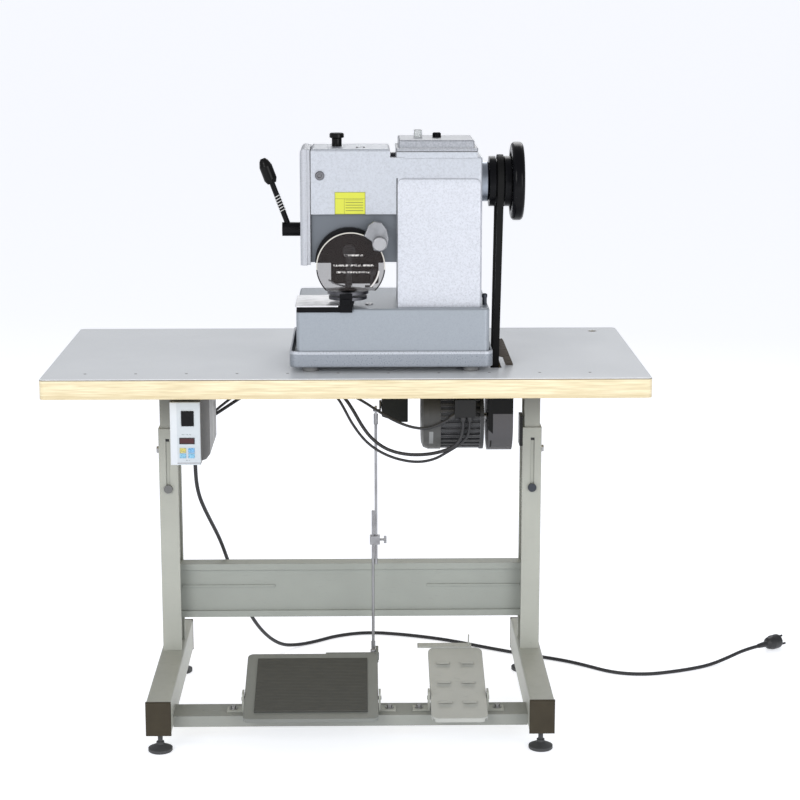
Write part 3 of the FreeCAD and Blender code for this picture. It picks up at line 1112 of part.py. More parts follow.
# ---------------------------------------------------------------- motor
def motor():
    left = "motor_left + bell_length"
    core = cylinder("motor_core", "x", left, "motor_y", "motor_z", "motor_radius - fin_depth",
                    "fin_length")
    flange = cylinder("motor_flange_disc", "x", left + " + fin_length", "motor_y", "motor_z",
                      "motor_radius + 2", "motor_flange")
    fins = []
    for i in range(int(size("fin_count"))):
        fin = doc.addObject("Part::Box", "fin_%d" % i)
        bind(fin, Length="fin_length", Width="fin_width", Height="motor_radius")
        spin = FreeCAD.Rotation(X, 360.0 * i / size("fin_count"))
        fins.append(place(fin, left, "motor_y", "motor_z", spin))
    keep = cylinder("motor_fin_reach", "x", left, "motor_y", "motor_z", "motor_radius",
                    "fin_length")
    fan = doc.addObject("Part::MultiCommon", "motor_fins")
    fan.Shapes = [fuse("fin_ring", *fins), keep]
    terminal = block("terminal_box", 42, 30, 36, left + " + 27", "motor_y - motor_radius - 14",
                     "motor_z + 14")
    rounded(terminal, 2, runs_along(Y))
    bore = cylinder("motor_bore", "x", left + " - 1", "motor_y", "motor_z", "7 + running_gap",
                    "fin_length + motor_flange + 2")
    node("motor_body", cut("motor_body", fuse("motor_whole", core, flange, fan, terminal), bore))
    r, deep = "motor_radius + 2", "bell_length"
    corners = [(0, 0), (r + " - 14", 0), (r + " - 4", 4), (r, 14), (r, deep), (9, deep),
               (9, "bell_length - 20"), (0, "bell_length - 20")]
    node("motor_bell", group("motor_bell", turned("bell", corners, "motor_left", "motor_y",
                                                  "motor_z", LYING["x"])))


def belt_guard():
    """The sheet housing round the motor pulley, open at the top for the belt."""
    def shell(name, grow, left, length):
        radius = "guard_box_radius - " + grow
        round_end = cylinder(name + "_round", "x", left, "motor_y", "motor_z", radius, length)
        upper = box(name + "_upper", left, "motor_y - (%s)" % radius, "motor_z", length,
                    "2 * (%s)" % radius, TABLE_BOTTOM + " - motor_z - 6")
        return fuse(name, round_end, upper)
    outer = shell("belt_guard_outer", "0", "guard_box_left", "guard_box_width")
    inner = shell("belt_guard_inner", "guard_box_wall", "guard_box_left + guard_box_wall",
                  "guard_box_width - 2 * guard_box_wall")
    open_top = box("belt_guard_top", "guard_box_left + guard_box_wall",
                   "motor_y - guard_box_radius + guard_box_wall", TABLE_BOTTOM + " - 20",
                   "guard_box_width - 2 * guard_box_wall",
                   "2 * guard_box_radius - 2 * guard_box_wall", 40)
    hole = cylinder("belt_guard_hole", "x", "guard_box_left - 1", "motor_y", "motor_z", 14,
                    "guard_box_wall + 2")
    node("belt_guard", cut("belt_guard", outer, inner, open_top, hole))


def under_table_brackets():
    top = TABLE_BOTTOM
    motor_plate = box("motor_plate", "motor_left + bell_length + 8", "motor_y - 46",
                      "motor_z + motor_radius", "fin_length - 16", 92,
                      top + " - motor_z - motor_radius")
    link = box("guard_link", "guard_box_left + 4", "motor_y + guard_box_radius", top + " - 40",
               "guard_box_width - 8", 4, 40)
    box_outer = box("box_bracket_outer", "box_left + 4", "box_front + 14", "box_top",
                    "box_width - 2", "box_depth - 40", top + " - box_top")
    box_inner = box("box_bracket_inner", "box_left + 7", "box_front + 10", "box_top - 1",
                    "box_width - 8", "box_depth", top + " - box_top - 2")
    speed_top = "speed_box_bottom + speed_box_height"
    strap = box("speed_strap", "speed_box_left + 12", "speed_box_front + 16", speed_top, 30, 40,
                top + " - (%s)" % speed_top)
    strap_gap = box("speed_strap_gap", "speed_box_left + 15", "speed_box_front + 10",
                    speed_top + " + 3", 24, 60, top + " - (%s) - 6" % speed_top)
    node("under_table_brackets",
         group("under_table_brackets", motor_plate, link,
               cut("box_bracket", box_outer, box_inner), cut("speed_bracket", strap, strap_gap)))


# ---------------------------------------------------------------- control box
def control_box():
    right = "box_width"
    case = body_at("case", "box_left", "box_front", "box_bottom")
    height = "box_top - box_bottom"
    pad(case, "XY_Plane", rectangle(0, 0, right, "box_front_depth"), height)
    rear = body_at("case_rear", "box_left", "box_front + box_depth", "box_bottom")
    pad(rear, "XZ_Plane", [(0, 0), (right, 0), (right + " + box_flare / 2", 3),
                           (right + " + box_flare", 14), (right + " + box_flare", height),
                           (0, height)], "box_depth - box_front_depth + 4")
    room = box("rocker_room", "rocker_x - rocker_width / 2 - 1", "box_front - 1",
               "rocker_z - rocker_height / 2 - 1", "rocker_width + 2", 7, "rocker_height + 2")
    node("control_box", cut("control_box", fuse("case_whole", case, rear), room))


def control_panel():
    panel = block("panel", "box_width", "panel_thickness", "box_top - box_bottom", "box_left",
                  "box_front - panel_thickness", "box_bottom")
    rounded(panel, 1.5, level_at(Y, 0.0))
    room = box("panel_room", "rocker_x - rocker_width / 2 - 0.6", "box_front - 10",
               "rocker_z - rocker_height / 2 - 0.6", "rocker_width + 1.2", 20,
               "rocker_height + 1.2")
    node("control_panel", cut("control_panel", panel, room))
    face = "box_front - panel_thickness"
    window = box("display", "rocker_x - 17", face + " - 1", "rocker_z + display_rise",
                 "display_width", 1, "display_height")
    keys = [box("key_%d_%d" % (i, k), "rocker_x - 16.5 + %d * key_pitch_x" % i, face + " - 1.2",
                "rocker_z + key_rise - %d * key_pitch_z" % k, "key_width", 1.2, "key_height")
            for i in (0, 1) for k in (0, 1)]
    node("panel_inserts", group("panel_inserts", window, *keys))


def rocker():
    width, height = "rocker_width", "rocker_height"
    key = block("rocker_key", width, 7, height, "rocker_x - rocker_width / 2",
                "box_front - panel_thickness - 3", "rocker_z - rocker_height / 2")
    rounded(key, 1.5, level_at(Y, 0.0))
    node("rocker_switch", group("rocker_switch", key))


# ---------------------------------------------------------------- cords
def cord_tube(name, radius, points, limp=5):
    """A tube of straight runs joined by the largest tangent arcs that the runs allow."""
    spots = [FreeCAD.Vector(*point) for point in points]
    edges, start, length, radii = [], spots[0], 0.0, []
    for before, here, after in zip(spots, spots[1:], spots[2:]):
        run_in, run_out = here - before, after - here
        turn = run_in.getAngle(run_out)
        cut_back = 0.45 * min(run_in.Length, run_out.Length)
        bend = cut_back / math.tan(turn / 2)
        radii.append(bend)
        arc_start = here - run_in.normalize() * cut_back
        arc_end = here + run_out.normalize() * cut_back
        middle = here + (run_out - run_in).normalize() * (bend / math.cos(turn / 2) - bend)
        edges.append(Part.LineSegment(start, arc_start).toShape())
        edges.append(Part.Arc(arc_start, middle, arc_end).toShape())
        length += (arc_start - start).Length + bend * turn
        start = arc_end
    edges.append(Part.LineSegment(start, spots[-1]).toShape())
    length += (spots[-1] - start).Length
    path = Part.Wire(edges)
    ring = Part.Wire(Part.Circle(spots[0], spots[1] - spots[0], radius).toShape())
    tube = path.makePipeShell([ring], True, False)
    ratio = tube.Volume / (math.pi * radius ** 2 * length)
    print("%s: %.0f mm long, tightest bend %.1f diameters, volume ratio %.4f"
          % (name, length, min(radii) / (2 * radius), ratio))
    if abs(ratio - 1) > 0.01 or min(radii) < limp * 2 * radius:
        raise RuntimeError(name + " has a faulty tube or too tight a bend")
    piece = doc.addObject("Part::Feature", name)
    piece.Shape = tube
    node(name, piece)


MAINS_ROUTE = [
    (-311, -128, 560), (-311, -128, 526), (-307, -104, 482), (-298, -62, 440), (-290, -14, 402),
    (-276, 50, 345), (-263, 104, 278), (-247, 150, 205), (-226, 200, 132), (-197, 256, 66),
    (-161, 314, 18), (-122, 355, 4.2), (-82, 379, 4.2), (-30, 424, 4.2), (42, 447, 4.2),
    (125, 429, 4.2), (224, 389, 4.2), (312, 331, 4.2), (400, 279, 4.2), (484, 237, 4.2),
    (534, 199, 4.2), (578, 158, 4.2), (622, 139, 4.2), (672, 137, 4.2), (718, 150, 4.2),
    (765, 168, 4.2), (815, 195, 4.2), (862, 228, 10), (906, 262, 17), (944, 289, 17),
]
SIGNAL_ROUTE = [
    (-306, 10, 604), (-306, 38, 604), (-294, 60, 616), (-268, 66, 638), (-236, 64, 662),
    (-202, 56, 684), (-164, 40, 698), (-126, 16, 704), (-92, -14, 706), (-62, -46, 704),
    (-38, -72, 698), (-18, -90, 682), (-5, -97, 660), (9, -102, 633), (34, -112, 600),
    (62, -125, 580), (98, -141, 567), (140, -158, 563), (176, -171, 572), (204, -180, 591),
    (231, -188, 610), (246, -190, 629), (246, -190, 654),
]
POWER_ROUTE = [
    (-330, 10, 592), (-330, 44, 592), (-312, 70, 600), (-282, 78, 616), (-250, 74, 638),
    (-216, 68, 661), (-181, 58, 682), (-144, 40, 696), (-107, 14, 703), (-72, -18, 705),
    (-44, -50, 704), (-20, -78, 697), (-2, -94, 681), (14, -103, 657), (30, -111, 629),
    (50, -121, 604), (80, -136, 585), (118, -151, 578), (158, -166, 581), (192, -181, 591),
    (219, -191, 605), (233, -190, 629), (233, -190, 654),
]
SENSOR_ROUTE = [
    (-262, -66, 690), (-236, -66, 690), (-206, -68, 701), (-162, -72, 708), (-112, -78, 706),
    (-60, -87, 708), (-10, -104, 702), (30, -122, 685), (64, -142, 666), (98, -165, 650),
    (134, -182, 640), (172, -190, 640), (204, -190, 659),
]


def cords():
    cord_tube("mains_cord", size("mains_radius"), MAINS_ROUTE)
    cord_tube("signal_lead", size("thin_lead_radius"), SIGNAL_ROUTE)
    cord_tube("power_lead", size("lead_radius"), POWER_ROUTE)
    cord_tube("sensor_lead", size("thin_lead_radius"), SENSOR_ROUTE)


def aimed(start, end):
    """A turn that lays a body's own Z axis along a cord's last run."""
    return FreeCAD.Rotation(Z, FreeCAD.Vector(*end) - FreeCAD.Vector(*start))


def cable_fittings():
    """The glands that the cords leave and enter, each turned along its cord's end run."""
    fittings = []
    ends = (("mains", MAINS_ROUTE[0], "mains_radius", "gland_length", Z),
            ("signal", SIGNAL_ROUTE[0], "thin_lead_radius", "gland_length", -Y),
            ("power", POWER_ROUTE[0], "lead_radius", "gland_length", -Y),
            ("sensor", SENSOR_ROUTE[0], "thin_lead_radius", "gland_length", -X),
            ("signal_end", SIGNAL_ROUTE[-1], "thin_lead_radius", "motor_gland", Z),
            ("power_end", POWER_ROUTE[-1], "lead_radius", "motor_gland", Z),
            ("sensor_end", SENSOR_ROUTE[-1], "thin_lead_radius", "2 * motor_gland", None))
    for word, mouth, bore, reach, straight in ends:
        corners = [(0, 0), (bore + " + 1", 0), (bore + " + 2.5", 4), (bore + " + 3", 5),
                   (bore + " + 3", reach), (0, reach)]
        turn = FreeCAD.Rotation(Z, straight) if straight else aimed(*SENSOR_ROUTE[-2:])
        fittings.append(turned("gland_" + word, corners, *mouth, turn))
    inside = box("gland_stop", "motor_left + bell_length + 27", "motor_y - motor_radius - 30",
                 "motor_z", 40, 60, 60)
    fittings[-1] = cut("gland_sensor_seated", fittings[-1], inside)
    node("cable_fittings", group("cable_fittings", *fittings))


def mains_plug():
    turn = aimed(MAINS_ROUTE[-2], MAINS_ROUTE[-1])
    level = FreeCAD.Vector(MAINS_ROUTE[-1][0] - MAINS_ROUTE[-2][0],
                           MAINS_ROUTE[-1][1] - MAINS_ROUTE[-2][1], 0)
    level = FreeCAD.Rotation(Z, level)
    x, y, z = MAINS_ROUTE[-1]
    corners = [(0, 0), ("mains_radius + 1", 0), ("mains_radius + 3", 26), (13, 32), (16.5, 44),
               (16.5, 62), (15, 66), (0, 66)]
    shell = turned("plug_shell", corners, x, y, z, level)
    pins = []
    along = FreeCAD.Vector(0, 0, 1)
    for shift in (-9.5, 9.5):
        pins.append(turned("plug_pin_%s" % ("a" if shift < 0 else "b"),
                           [(0, 60), (2.4, 60), (2.4, 84), (1.4, 85), (0, 85)],
                           *(FreeCAD.Vector(x, y, z) + level.multVec(FreeCAD.Vector(shift, 0, 0))),
                           level))
    node("mains_plug", fuse("mains_plug", shell, *pins))


def finish():
    """Check every object and write each sub-part."""
    doc.recompute()
    for item in doc.Objects:
        if "Invalid" in item.State or "Error" in item.State:
            raise RuntimeError("%s did not build: %s" % (item.Label, item.State))
    os.makedirs("parts", exist_ok=True)
    for name, piece in nodes.items():
        if piece.Shape.isNull() or not piece.Shape.isValid():
            raise RuntimeError(name + " has no valid shape")
        piece.Shape.exportStep("parts/%s.step" % name)
    print(len(nodes), "sub-parts written")


base_bars()
node("stand_plastics", group("stand_plastics", *base_end_caps(), *post_guides()))
outer_posts()
crossbeam()
pedal_rail()
levelling_feet()
pedal_brackets()
stand_bolts()
treadle()
second_pedal()
lower_rod()
upper_rod()
speed_lever()
speed_box()
inner_posts()
table_board()
belt_slot_guard()
oil_tray()
foot_pads()
base_casting()
work_plate()
front_bracket()
head_casting()
face_cover()
column_lid()
sight_cup()
fasteners()
top_knob()
shaft_collar()
main_shaft()
belt_wheels()
handwheel()
belt()
hand_lever()
needle_housing()
needle_arm()
needle()
looper()
feed_discs()
guard()
motor()
belt_guard()
under_table_brackets()
control_box()
control_panel()
rocker()
cords()
cable_fittings()
mains_plug()
finish()
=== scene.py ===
"""An overseaming machine for leather, on its adjustable stand, dressed for rendering.

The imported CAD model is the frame: this script gives its parts their finishes, lays the cords,
and adds the small pieces that only the eye needs.
"""
import math

import bmesh
import bpy
from mathutils import Matrix, Vector


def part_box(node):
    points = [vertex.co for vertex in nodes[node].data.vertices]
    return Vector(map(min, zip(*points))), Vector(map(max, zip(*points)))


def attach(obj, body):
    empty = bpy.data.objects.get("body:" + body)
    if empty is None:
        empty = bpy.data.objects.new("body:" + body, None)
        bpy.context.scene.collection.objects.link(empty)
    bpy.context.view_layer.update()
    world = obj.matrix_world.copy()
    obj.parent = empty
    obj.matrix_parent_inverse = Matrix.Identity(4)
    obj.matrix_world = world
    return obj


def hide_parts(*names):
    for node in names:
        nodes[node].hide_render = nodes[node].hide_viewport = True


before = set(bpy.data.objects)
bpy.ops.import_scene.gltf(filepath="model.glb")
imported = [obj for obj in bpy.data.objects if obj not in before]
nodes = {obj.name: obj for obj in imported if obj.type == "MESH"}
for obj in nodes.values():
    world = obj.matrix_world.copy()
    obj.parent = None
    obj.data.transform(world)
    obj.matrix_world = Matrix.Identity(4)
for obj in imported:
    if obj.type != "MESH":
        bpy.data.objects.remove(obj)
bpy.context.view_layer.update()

# ---------------------------------------------------------------- the view
# A long lens stands a little above the table, four metres in front of it.
camera = bpy.data.objects.new("camera", bpy.data.cameras.new("camera"))
camera.data.lens = 89.9
camera.data.sensor_width = 36
camera.location = (0.0339, -4.1079, 1.5039)
camera.rotation_euler = (math.radians(78.4), 0, math.radians(-1.058))
bpy.context.scene.collection.objects.link(camera)
bpy.context.scene.camera = camera


# ---------------------------------------------------------------- cords
# A black rubber mains cord runs from the control box to the floor and out to its plug.
# Two leads leave the back of the box and one its side; all run under the table and droop to
# the motor's terminals.
class Wire:
    """A socket of a material's nodes, so that shader maths reads as plain arithmetic."""

    def __init__(self, tree, socket):
        self.tree = tree
        self.socket = socket

    def node(self, kind, settings, sockets, output=0):
        """A new node: its settings first, then the values or links of its sockets."""
        made = self.tree.nodes.new(kind)
        for name, value in settings.items():
            setattr(made, name, value)
        for name, value in sockets.items():
            if isinstance(value, Wire):
                self.tree.links.new(value.socket, made.inputs[name])
            else:
                made.inputs[name].default_value = value
        return Wire(self.tree, made.outputs[output])

    def maths(self, operation, first, second=0.0):
        settings = {"operation": operation}
        return self.node("ShaderNodeMath", settings, {0: first, 1: second})

    def __add__(self, other):
        return self.maths("ADD", self, other)

    def __radd__(self, other):
        return self.maths("ADD", other, self)

    def __sub__(self, other):
        return self.maths("SUBTRACT", self, other)

    def __rsub__(self, other):
        return self.maths("SUBTRACT", other, self)

    def __mul__(self, other):
        return self.maths("MULTIPLY", self, other)

    def __rmul__(self, other):
        return self.maths("MULTIPLY", other, self)

    def __gt__(self, other):
        return self.maths("GREATER_THAN", self, other)

    def __lt__(self, other):
        return self.maths("LESS_THAN", self, other)

    def within(self, low, high):
        """1 where this value lies between two bounds, 0 elsewhere."""
        return (self > low) * (self < high)

    def ramp(self, low, high):
        """This value spread from 0 at low to 1 at high, and held there outside them."""
        sockets = {"Value": self, "From Min": low, "From Max": high}
        return self.node("ShaderNodeMapRange", {"clamp": True}, sockets)

    def colours(self, low, high):
        """The colour low where this mask is 0 and high where it is 1."""
        first = low if isinstance(low, Wire) else (*low, 1)
        second = high if isinstance(high, Wire) else (*high, 1)
        return self.node("ShaderNodeMix", {"data_type": "RGBA"}, {0: self, 6: first, 7: second}, 2)

    def part(self, axis):
        """One coordinate, 0 to 2, of a vector."""
        return self.node("ShaderNodeSeparateXYZ", {}, {"Vector": self}, axis)

    def stretched(self, x, y, z):
        """This place with its axes scaled, for a grain that runs one way."""
        return self.node("ShaderNodeMapping", {}, {"Vector": self, "Scale": (x, y, z)})

    def noise(self, scale, detail=2.0):
        sockets = {"Vector": self, "Scale": scale, "Detail": detail}
        return self.node("ShaderNodeTexNoise", {}, sockets)

    def cells(self, scale):
        """The distance to the middle of the nearest cell, for speckles and dimples."""
        return self.node("ShaderNodeTexVoronoi", {}, {"Vector": self, "Scale": scale})


class Finish:
    """A material, its Principled shader, and the place on the piece that its maths starts from."""

    def __init__(self, name, **constants):
        self.material = bpy.data.materials.new(name)
        self.material.use_nodes = True
        tree = self.material.node_tree
        self.shader = tree.nodes["Principled BSDF"]
        coordinates = tree.nodes.new("ShaderNodeTexCoord")
        self.place = Wire(tree, coordinates.outputs["Object"])
        for word, value in constants.items():
            socket = word.replace("_", " ").title().replace("Ior", "IOR")
            self.shader.inputs[socket].default_value = value

    def feed(self, socket, value):
        self.place.tree.links.new(value.socket, self.shader.inputs[socket])

    def relief(self, height, depth, rounding=0.0):
        """A bump of this height in metres; rounding softens the edges of the piece as well."""
        sockets = {"Height": height, "Distance": depth, "Strength": 1.0}
        if rounding:
            sockets["Normal"] = self.place.node("ShaderNodeBevel", {"samples": 4},
                                                {"Radius": rounding})
        self.feed("Normal", self.place.node("ShaderNodeBump", {}, sockets))

    def edges(self, radius):
        """A mask that is 1 on the sharp edges of the piece and 0 on its faces."""
        place = self.place
        soft = place.node("ShaderNodeBevel", {"samples": 4}, {"Radius": radius})
        flat = place.node("ShaderNodeNewGeometry", {}, {}, "Normal")
        same = place.node("ShaderNodeVectorMath", {"operation": "DOT_PRODUCT"},
                          {0: soft, 1: flat}, "Value")
        return (1 - same).ramp(0.004, 0.12)


def moulded(name, colour, roughness, grit=1600, worn=(0.10, 0.10, 0.10)):
    """Rubber or moulded plastic: a fine grit in the surface and a little dust on its edges."""
    finish = Finish(name, roughness=roughness)
    place = finish.place
    patches = place.noise(30, 4)
    dust = finish.edges(0.001) * patches.ramp(0.4, 0.7) * 0.6
    finish.feed("Base Color", dust.colours(patches.colours([c * 0.75 for c in colour],
                                                           [c * 1.3 for c in colour]), worn))
    finish.feed("Roughness", patches * 0.2 + (roughness - 0.1))
    finish.relief(place.noise(grit), 0.00015, 0.0006)
    return finish.material


def route(name, points, diameter):
    """A cord as one smooth curve that its route's points steer."""
    line = bpy.data.curves.new(name, "CURVE")
    line.dimensions = "3D"
    line.bevel_depth = diameter / 2
    line.bevel_resolution = 5
    line.resolution_u = 10
    line.use_fill_caps = True
    spline = line.splines.new("NURBS")
    spline.points.add(len(points) - 1)
    for spot, point in zip(spline.points, points):
        spot.co = (*(value / 1000 for value in point), 1)
    spline.order_u = 3
    spline.use_endpoint_u = True
    piece = bpy.data.objects.new(name, line)
    bpy.context.scene.collection.objects.link(piece)
    piece.data.materials.append(jacket)
    return piece


def dress(material, *names):
    """Gives parts of the frame one material."""
    for name in names:
        nodes[name].material_slots[0].material = material


jacket = moulded("cord_jacket", (0.014, 0.014, 0.016), 0.5)
fittings = moulded("cable_fittings", (0.016, 0.016, 0.017), 0.42)
dress(fittings, "mains_plug", "cable_fittings")

mains_route = [
    (-311, -128, 560), (-311, -128, 526), (-307, -104, 482), (-298, -62, 440), (-290, -14, 402),
    (-276, 50, 345), (-263, 104, 278), (-247, 150, 205), (-226, 200, 132), (-197, 256, 66),
    (-161, 314, 18), (-122, 355, 4.2), (-82, 379, 4.2), (-30, 424, 4.2), (42, 447, 4.2),
    (125, 429, 4.2), (224, 389, 4.2), (312, 331, 4.2), (400, 279, 4.2), (484, 237, 4.2),
    (534, 199, 4.2), (578, 158, 4.2), (622, 139, 4.2), (672, 137, 4.2), (718, 150, 4.2),
    (765, 168, 4.2), (815, 195, 4.2), (862, 228, 10), (906, 262, 17), (944, 289, 17),
]
signal_route = [
    (-306, 10, 604), (-306, 38, 604), (-294, 60, 616), (-268, 66, 638), (-236, 64, 662),
    (-202, 56, 684), (-164, 40, 698), (-126, 16, 704), (-92, -14, 706), (-62, -46, 704),
    (-38, -72, 698), (-18, -90, 682), (-5, -97, 660), (9, -102, 633), (34, -112, 600),
    (62, -125, 580), (98, -141, 567), (140, -158, 563), (176, -171, 572), (204, -180, 591),
    (231, -188, 610), (246, -190, 629), (246, -190, 654),
]
power_route = [
    (-330, 10, 592), (-330, 44, 592), (-312, 70, 600), (-282, 78, 616), (-250, 74, 638),
    (-216, 68, 661), (-181, 58, 682), (-144, 40, 696), (-107, 14, 703), (-72, -18, 705),
    (-44, -50, 704), (-20, -78, 697), (-2, -94, 681), (14, -103, 657), (30, -111, 629),
    (50, -121, 604), (80, -136, 585), (118, -151, 578), (158, -166, 581), (192, -181, 591),
    (219, -191, 605), (233, -190, 629), (233, -190, 654),
]
sensor_route = [
    (-262, -66, 690), (-236, -66, 690), (-206, -68, 701), (-162, -72, 708), (-112, -78, 706),
    (-60, -87, 708), (-10, -104, 702), (30, -122, 685), (64, -142, 666), (98, -165, 650),
    (134, -182, 640), (172, -190, 640), (204, -190, 659),
]
mains = route("mains_flex", mains_route, 0.008)
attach(mains, "table")
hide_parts("mains_cord")
for name, points, node, diameter, length in (
        ("signal_flex", signal_route, "signal_lead", 0.0056, 0.79),
        ("power_flex", power_route, "power_lead", 0.007, 0.81),
        ("sensor_flex", sensor_route, "sensor_lead", 0.0056, 0.51)):
    lead = route(name, points, diameter)
    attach(lead, "table")
    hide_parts(node)

# ---------------------------------------------------------------- floor and light
# A pale studio floor under broad soft lights, with a bright even surround.
bpy.context.scene.view_settings.view_transform = "Standard"
floor_sheet = bmesh.new()
bmesh.ops.create_grid(floor_sheet, x_segments=1, y_segments=1, size=600)
floor_mesh = bpy.data.meshes.new("floor")
floor_sheet.to_mesh(floor_mesh)
floor = bpy.data.objects.new("floor", floor_mesh)
bpy.context.scene.collection.objects.link(floor)
floor_mesh.materials.append(Finish("floor", base_color=(0.80, 0.81, 0.84, 1), roughness=0.8,
                                   emission_color=(0.96, 0.97, 1.0, 1),
                                   emission_strength=0.60).material)

world = bpy.data.worlds.new("surround")
world.use_nodes = True
world.node_tree.nodes["Background"].inputs["Color"].default_value = (0.93, 0.95, 1.0, 1)
world.node_tree.nodes["Background"].inputs["Strength"].default_value = 0.47
bpy.context.scene.world = world
for name, spot, size, power in (("key", (-2.2, -4.6, 2.6), 2.4, 105),
                                ("fill", (2.6, -4.4, 1.7), 2.6, 70),
                                ("back", (0.6, 2.6, 2.8), 2.0, 32)):
    lamp = bpy.data.lights.new(name, "AREA")
    lamp.size = size
    lamp.energy = power
    light = bpy.data.objects.new(name, lamp)
    light.location = spot
    aim = Vector((0, 0, 0.7)) - Vector(spot)
    light.rotation_euler = aim.to_track_quat("-Z", "Y").to_euler()
    bpy.context.scene.collection.objects.link(light)


# ---------------------------------------------------------------- stand
# Folded and welded steel in grey-green enamel: two base bars, two slotted posts, a ribbed
# crossbeam behind, a rail for the pedals, with moulded end caps and levelling feet.
def enamelled(name, colour, roughness=0.42, chip=(0.16, 0.16, 0.15), wear=0.5):
    """Sprayed enamel: faint orange peel, drifting tone, and edges worn darker."""
    finish = Finish(name)
    place = finish.place
    drift = place.noise(9, 3)
    scuffs = place.stretched(1, 1, 6).noise(60, 5)
    edge_wear_and_glint = finish.edges(0.0016) * scuffs.ramp(0.35, 0.65) * wear
    tone = drift.colours([c * 0.86 for c in colour], [c * 1.10 for c in colour])
    grime = scuffs.ramp(0.62, 0.75) * 0.15
    finish.feed("Base Color", edge_wear_and_glint.colours(grime.colours(tone, chip), chip))
    finish.feed("Roughness", scuffs * 0.25 + (roughness - 0.12))
    finish.relief(place.noise(420), 0.0002, 0.0012)
    return finish.material


def piece_of(form, name, material, body, smooth=True):
    """A finished piece from a bmesh, riding on a body of the frame."""
    bmesh.ops.recalc_face_normals(form, faces=form.faces[:])
    mesh = bpy.data.meshes.new(name)
    form.to_mesh(mesh)
    form.free()
    if smooth:
        mesh.shade_smooth()
    piece = bpy.data.objects.new(name, mesh)
    bpy.context.scene.collection.objects.link(piece)
    mesh.materials.append(material)
    if smooth:
        mesh.set_sharp_from_angle(angle=math.radians(40))
    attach(piece, body)


def bar(form, low, high, bevel=0.0, segments=2, turn=None):
    """Adds a block between two corners, with its edges rounded, to a bmesh."""
    low, high = Vector(low), Vector(high)
    spot = Matrix.Translation((low + high) / 2) @ Matrix.Diagonal((*(high - low), 1))
    made = bmesh.ops.create_cube(form, size=1, matrix=spot)["verts"]
    if bevel:
        edges = list({edge for vert in made for edge in vert.link_edges})
        rounded = bmesh.ops.bevel(form, geom=edges, offset=bevel, segments=segments,
                                  affect="EDGES", profile=0.5, material=-1)
        made = rounded["verts"]
    if turn:
        bmesh.ops.transform(form, matrix=turn, verts=made)


stand_paint = enamelled("stand_enamel", (0.40, 0.41, 0.365))
# The crossbeam has the stand's enamel, painted darker as shade behind the posts and under the
# table.
dress(enamelled("beam_enamel_shaded", (0.33, 0.35, 0.32)), "crossbeam")
dress(enamelled("rail_enamel", (0.27, 0.28, 0.255)), "pedal_rail")
dress(stand_paint, "base_bars", "outer_posts", "pedal_brackets")
# Painted shade: the inner posts darken towards the table, which shades them, and a black ring at
# the slot's head stands in for the shade in the hole there.
shade_start, shade_end = 0.585, 0.70
hole_shade_low, hole_shade_high = 0.5715, 0.5785
inner_post = Finish("inner_enamel")
place = inner_post.place
height = place.part(2)
# Painted shade, darker towards the table.
shade = height.ramp(shade_start, shade_end) * 0.85
shaded = shade.colours((0.40, 0.41, 0.365), (0.09, 0.086, 0.078))
# Painted shade: a black ring for the dark hole at the head of the slot.
hole_shade = height.within(hole_shade_low, hole_shade_high)
inner_post.feed("Base Color", hole_shade.colours(shaded, (0.01, 0.01, 0.01)))
inner_post.feed("Roughness", place.noise(60, 4) * 0.2 + 0.32)
inner_post.relief(place.noise(420), 0.0002, 0.0012)
dress(inner_post.material, "inner_posts")
# One node holds the brown caps near the floor and the black guides far above them.
caps_end = 0.3
caps = Finish("caps_and_guides", specular_ior_level=0.25)
place = caps.place
tone = place.noise(25, 4).colours((0.026, 0.020, 0.011), (0.052, 0.042, 0.025))
caps.feed("Base Color", (place.part(2) > caps_end).colours(tone, (0.012, 0.012, 0.012)))
caps.feed("Roughness", place.noise(90, 3) * 0.2 + 0.38)
caps.relief(place.noise(900), 0.0001, 0.002)
dress(caps.material, "stand_plastics")
dress(moulded("foot_rubber", (0.045, 0.046, 0.048), 0.55), "levelling_feet")


# ---------------------------------------------------------------- screws and knobs
# The stand's bolts are zinc plated. One node holds all the screws of the head and table, so
# their places tell blackened ones, plated ones and the moulded lid knob apart.
def metal(name, colour, roughness, grain=(1, 1, 1), scratch=0.12, rounding=0.0006):
    """Bare or plated metal with a fine directional grain and handling marks."""
    finish = Finish(name, metallic=1.0)
    place = finish.place
    lines = place.stretched(*grain).noise(900, 4)
    marks = place.noise(45, 5).ramp(0.45, 0.8)
    finish.feed("Base Color", marks.colours(colour, [c * 0.72 for c in colour]))
    finish.feed("Roughness", lines * scratch + marks * 0.15 + (roughness - 0.06))
    finish.relief(lines, 0.00008, rounding)
    return finish.material


black_steel = metal("blackened_steel", (0.10, 0.10, 0.105), 0.42)
bright_steel = metal("bright_steel", (0.62, 0.62, 0.63), 0.30)
chrome = metal("chrome_plate", (0.82, 0.82, 0.84), 0.12, scratch=0.05)
dress(metal("zinc_steel", (0.36, 0.36, 0.36), 0.4), "stand_bolts")
screws = Finish("screws_and_knobs", metallic=1.0)
place = screws.place
across, height = place.part(0), place.part(2)
table_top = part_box("table_board")[1][2]
head_top, lid_top = 1.1995, 1.21
low_bolts = height < table_top
lid_knob = across.within(0.165, 0.195) * (height > lid_top)
clip = across.within(0.085, 0.0995) * (height > 1.18)
middle_pin = across.within(0.0245, 0.0322)
pins = (height.within(head_top, 1.203) * (middle_pin < 0.5) * across.within(0.01, 0.05))
nut = across > 0.27
plug = (across < 0) * (height > 1.0)
tone = low_bolts.colours((0.55, 0.55, 0.56), (0.17, 0.17, 0.165))
tone = plug.colours(tone, (0.20, 0.20, 0.21))
tone = nut.colours(tone, (0.06, 0.065, 0.075))
tone = clip.colours(tone, (0.05, 0.05, 0.055))
dark = (lid_knob + pins) > 0.5
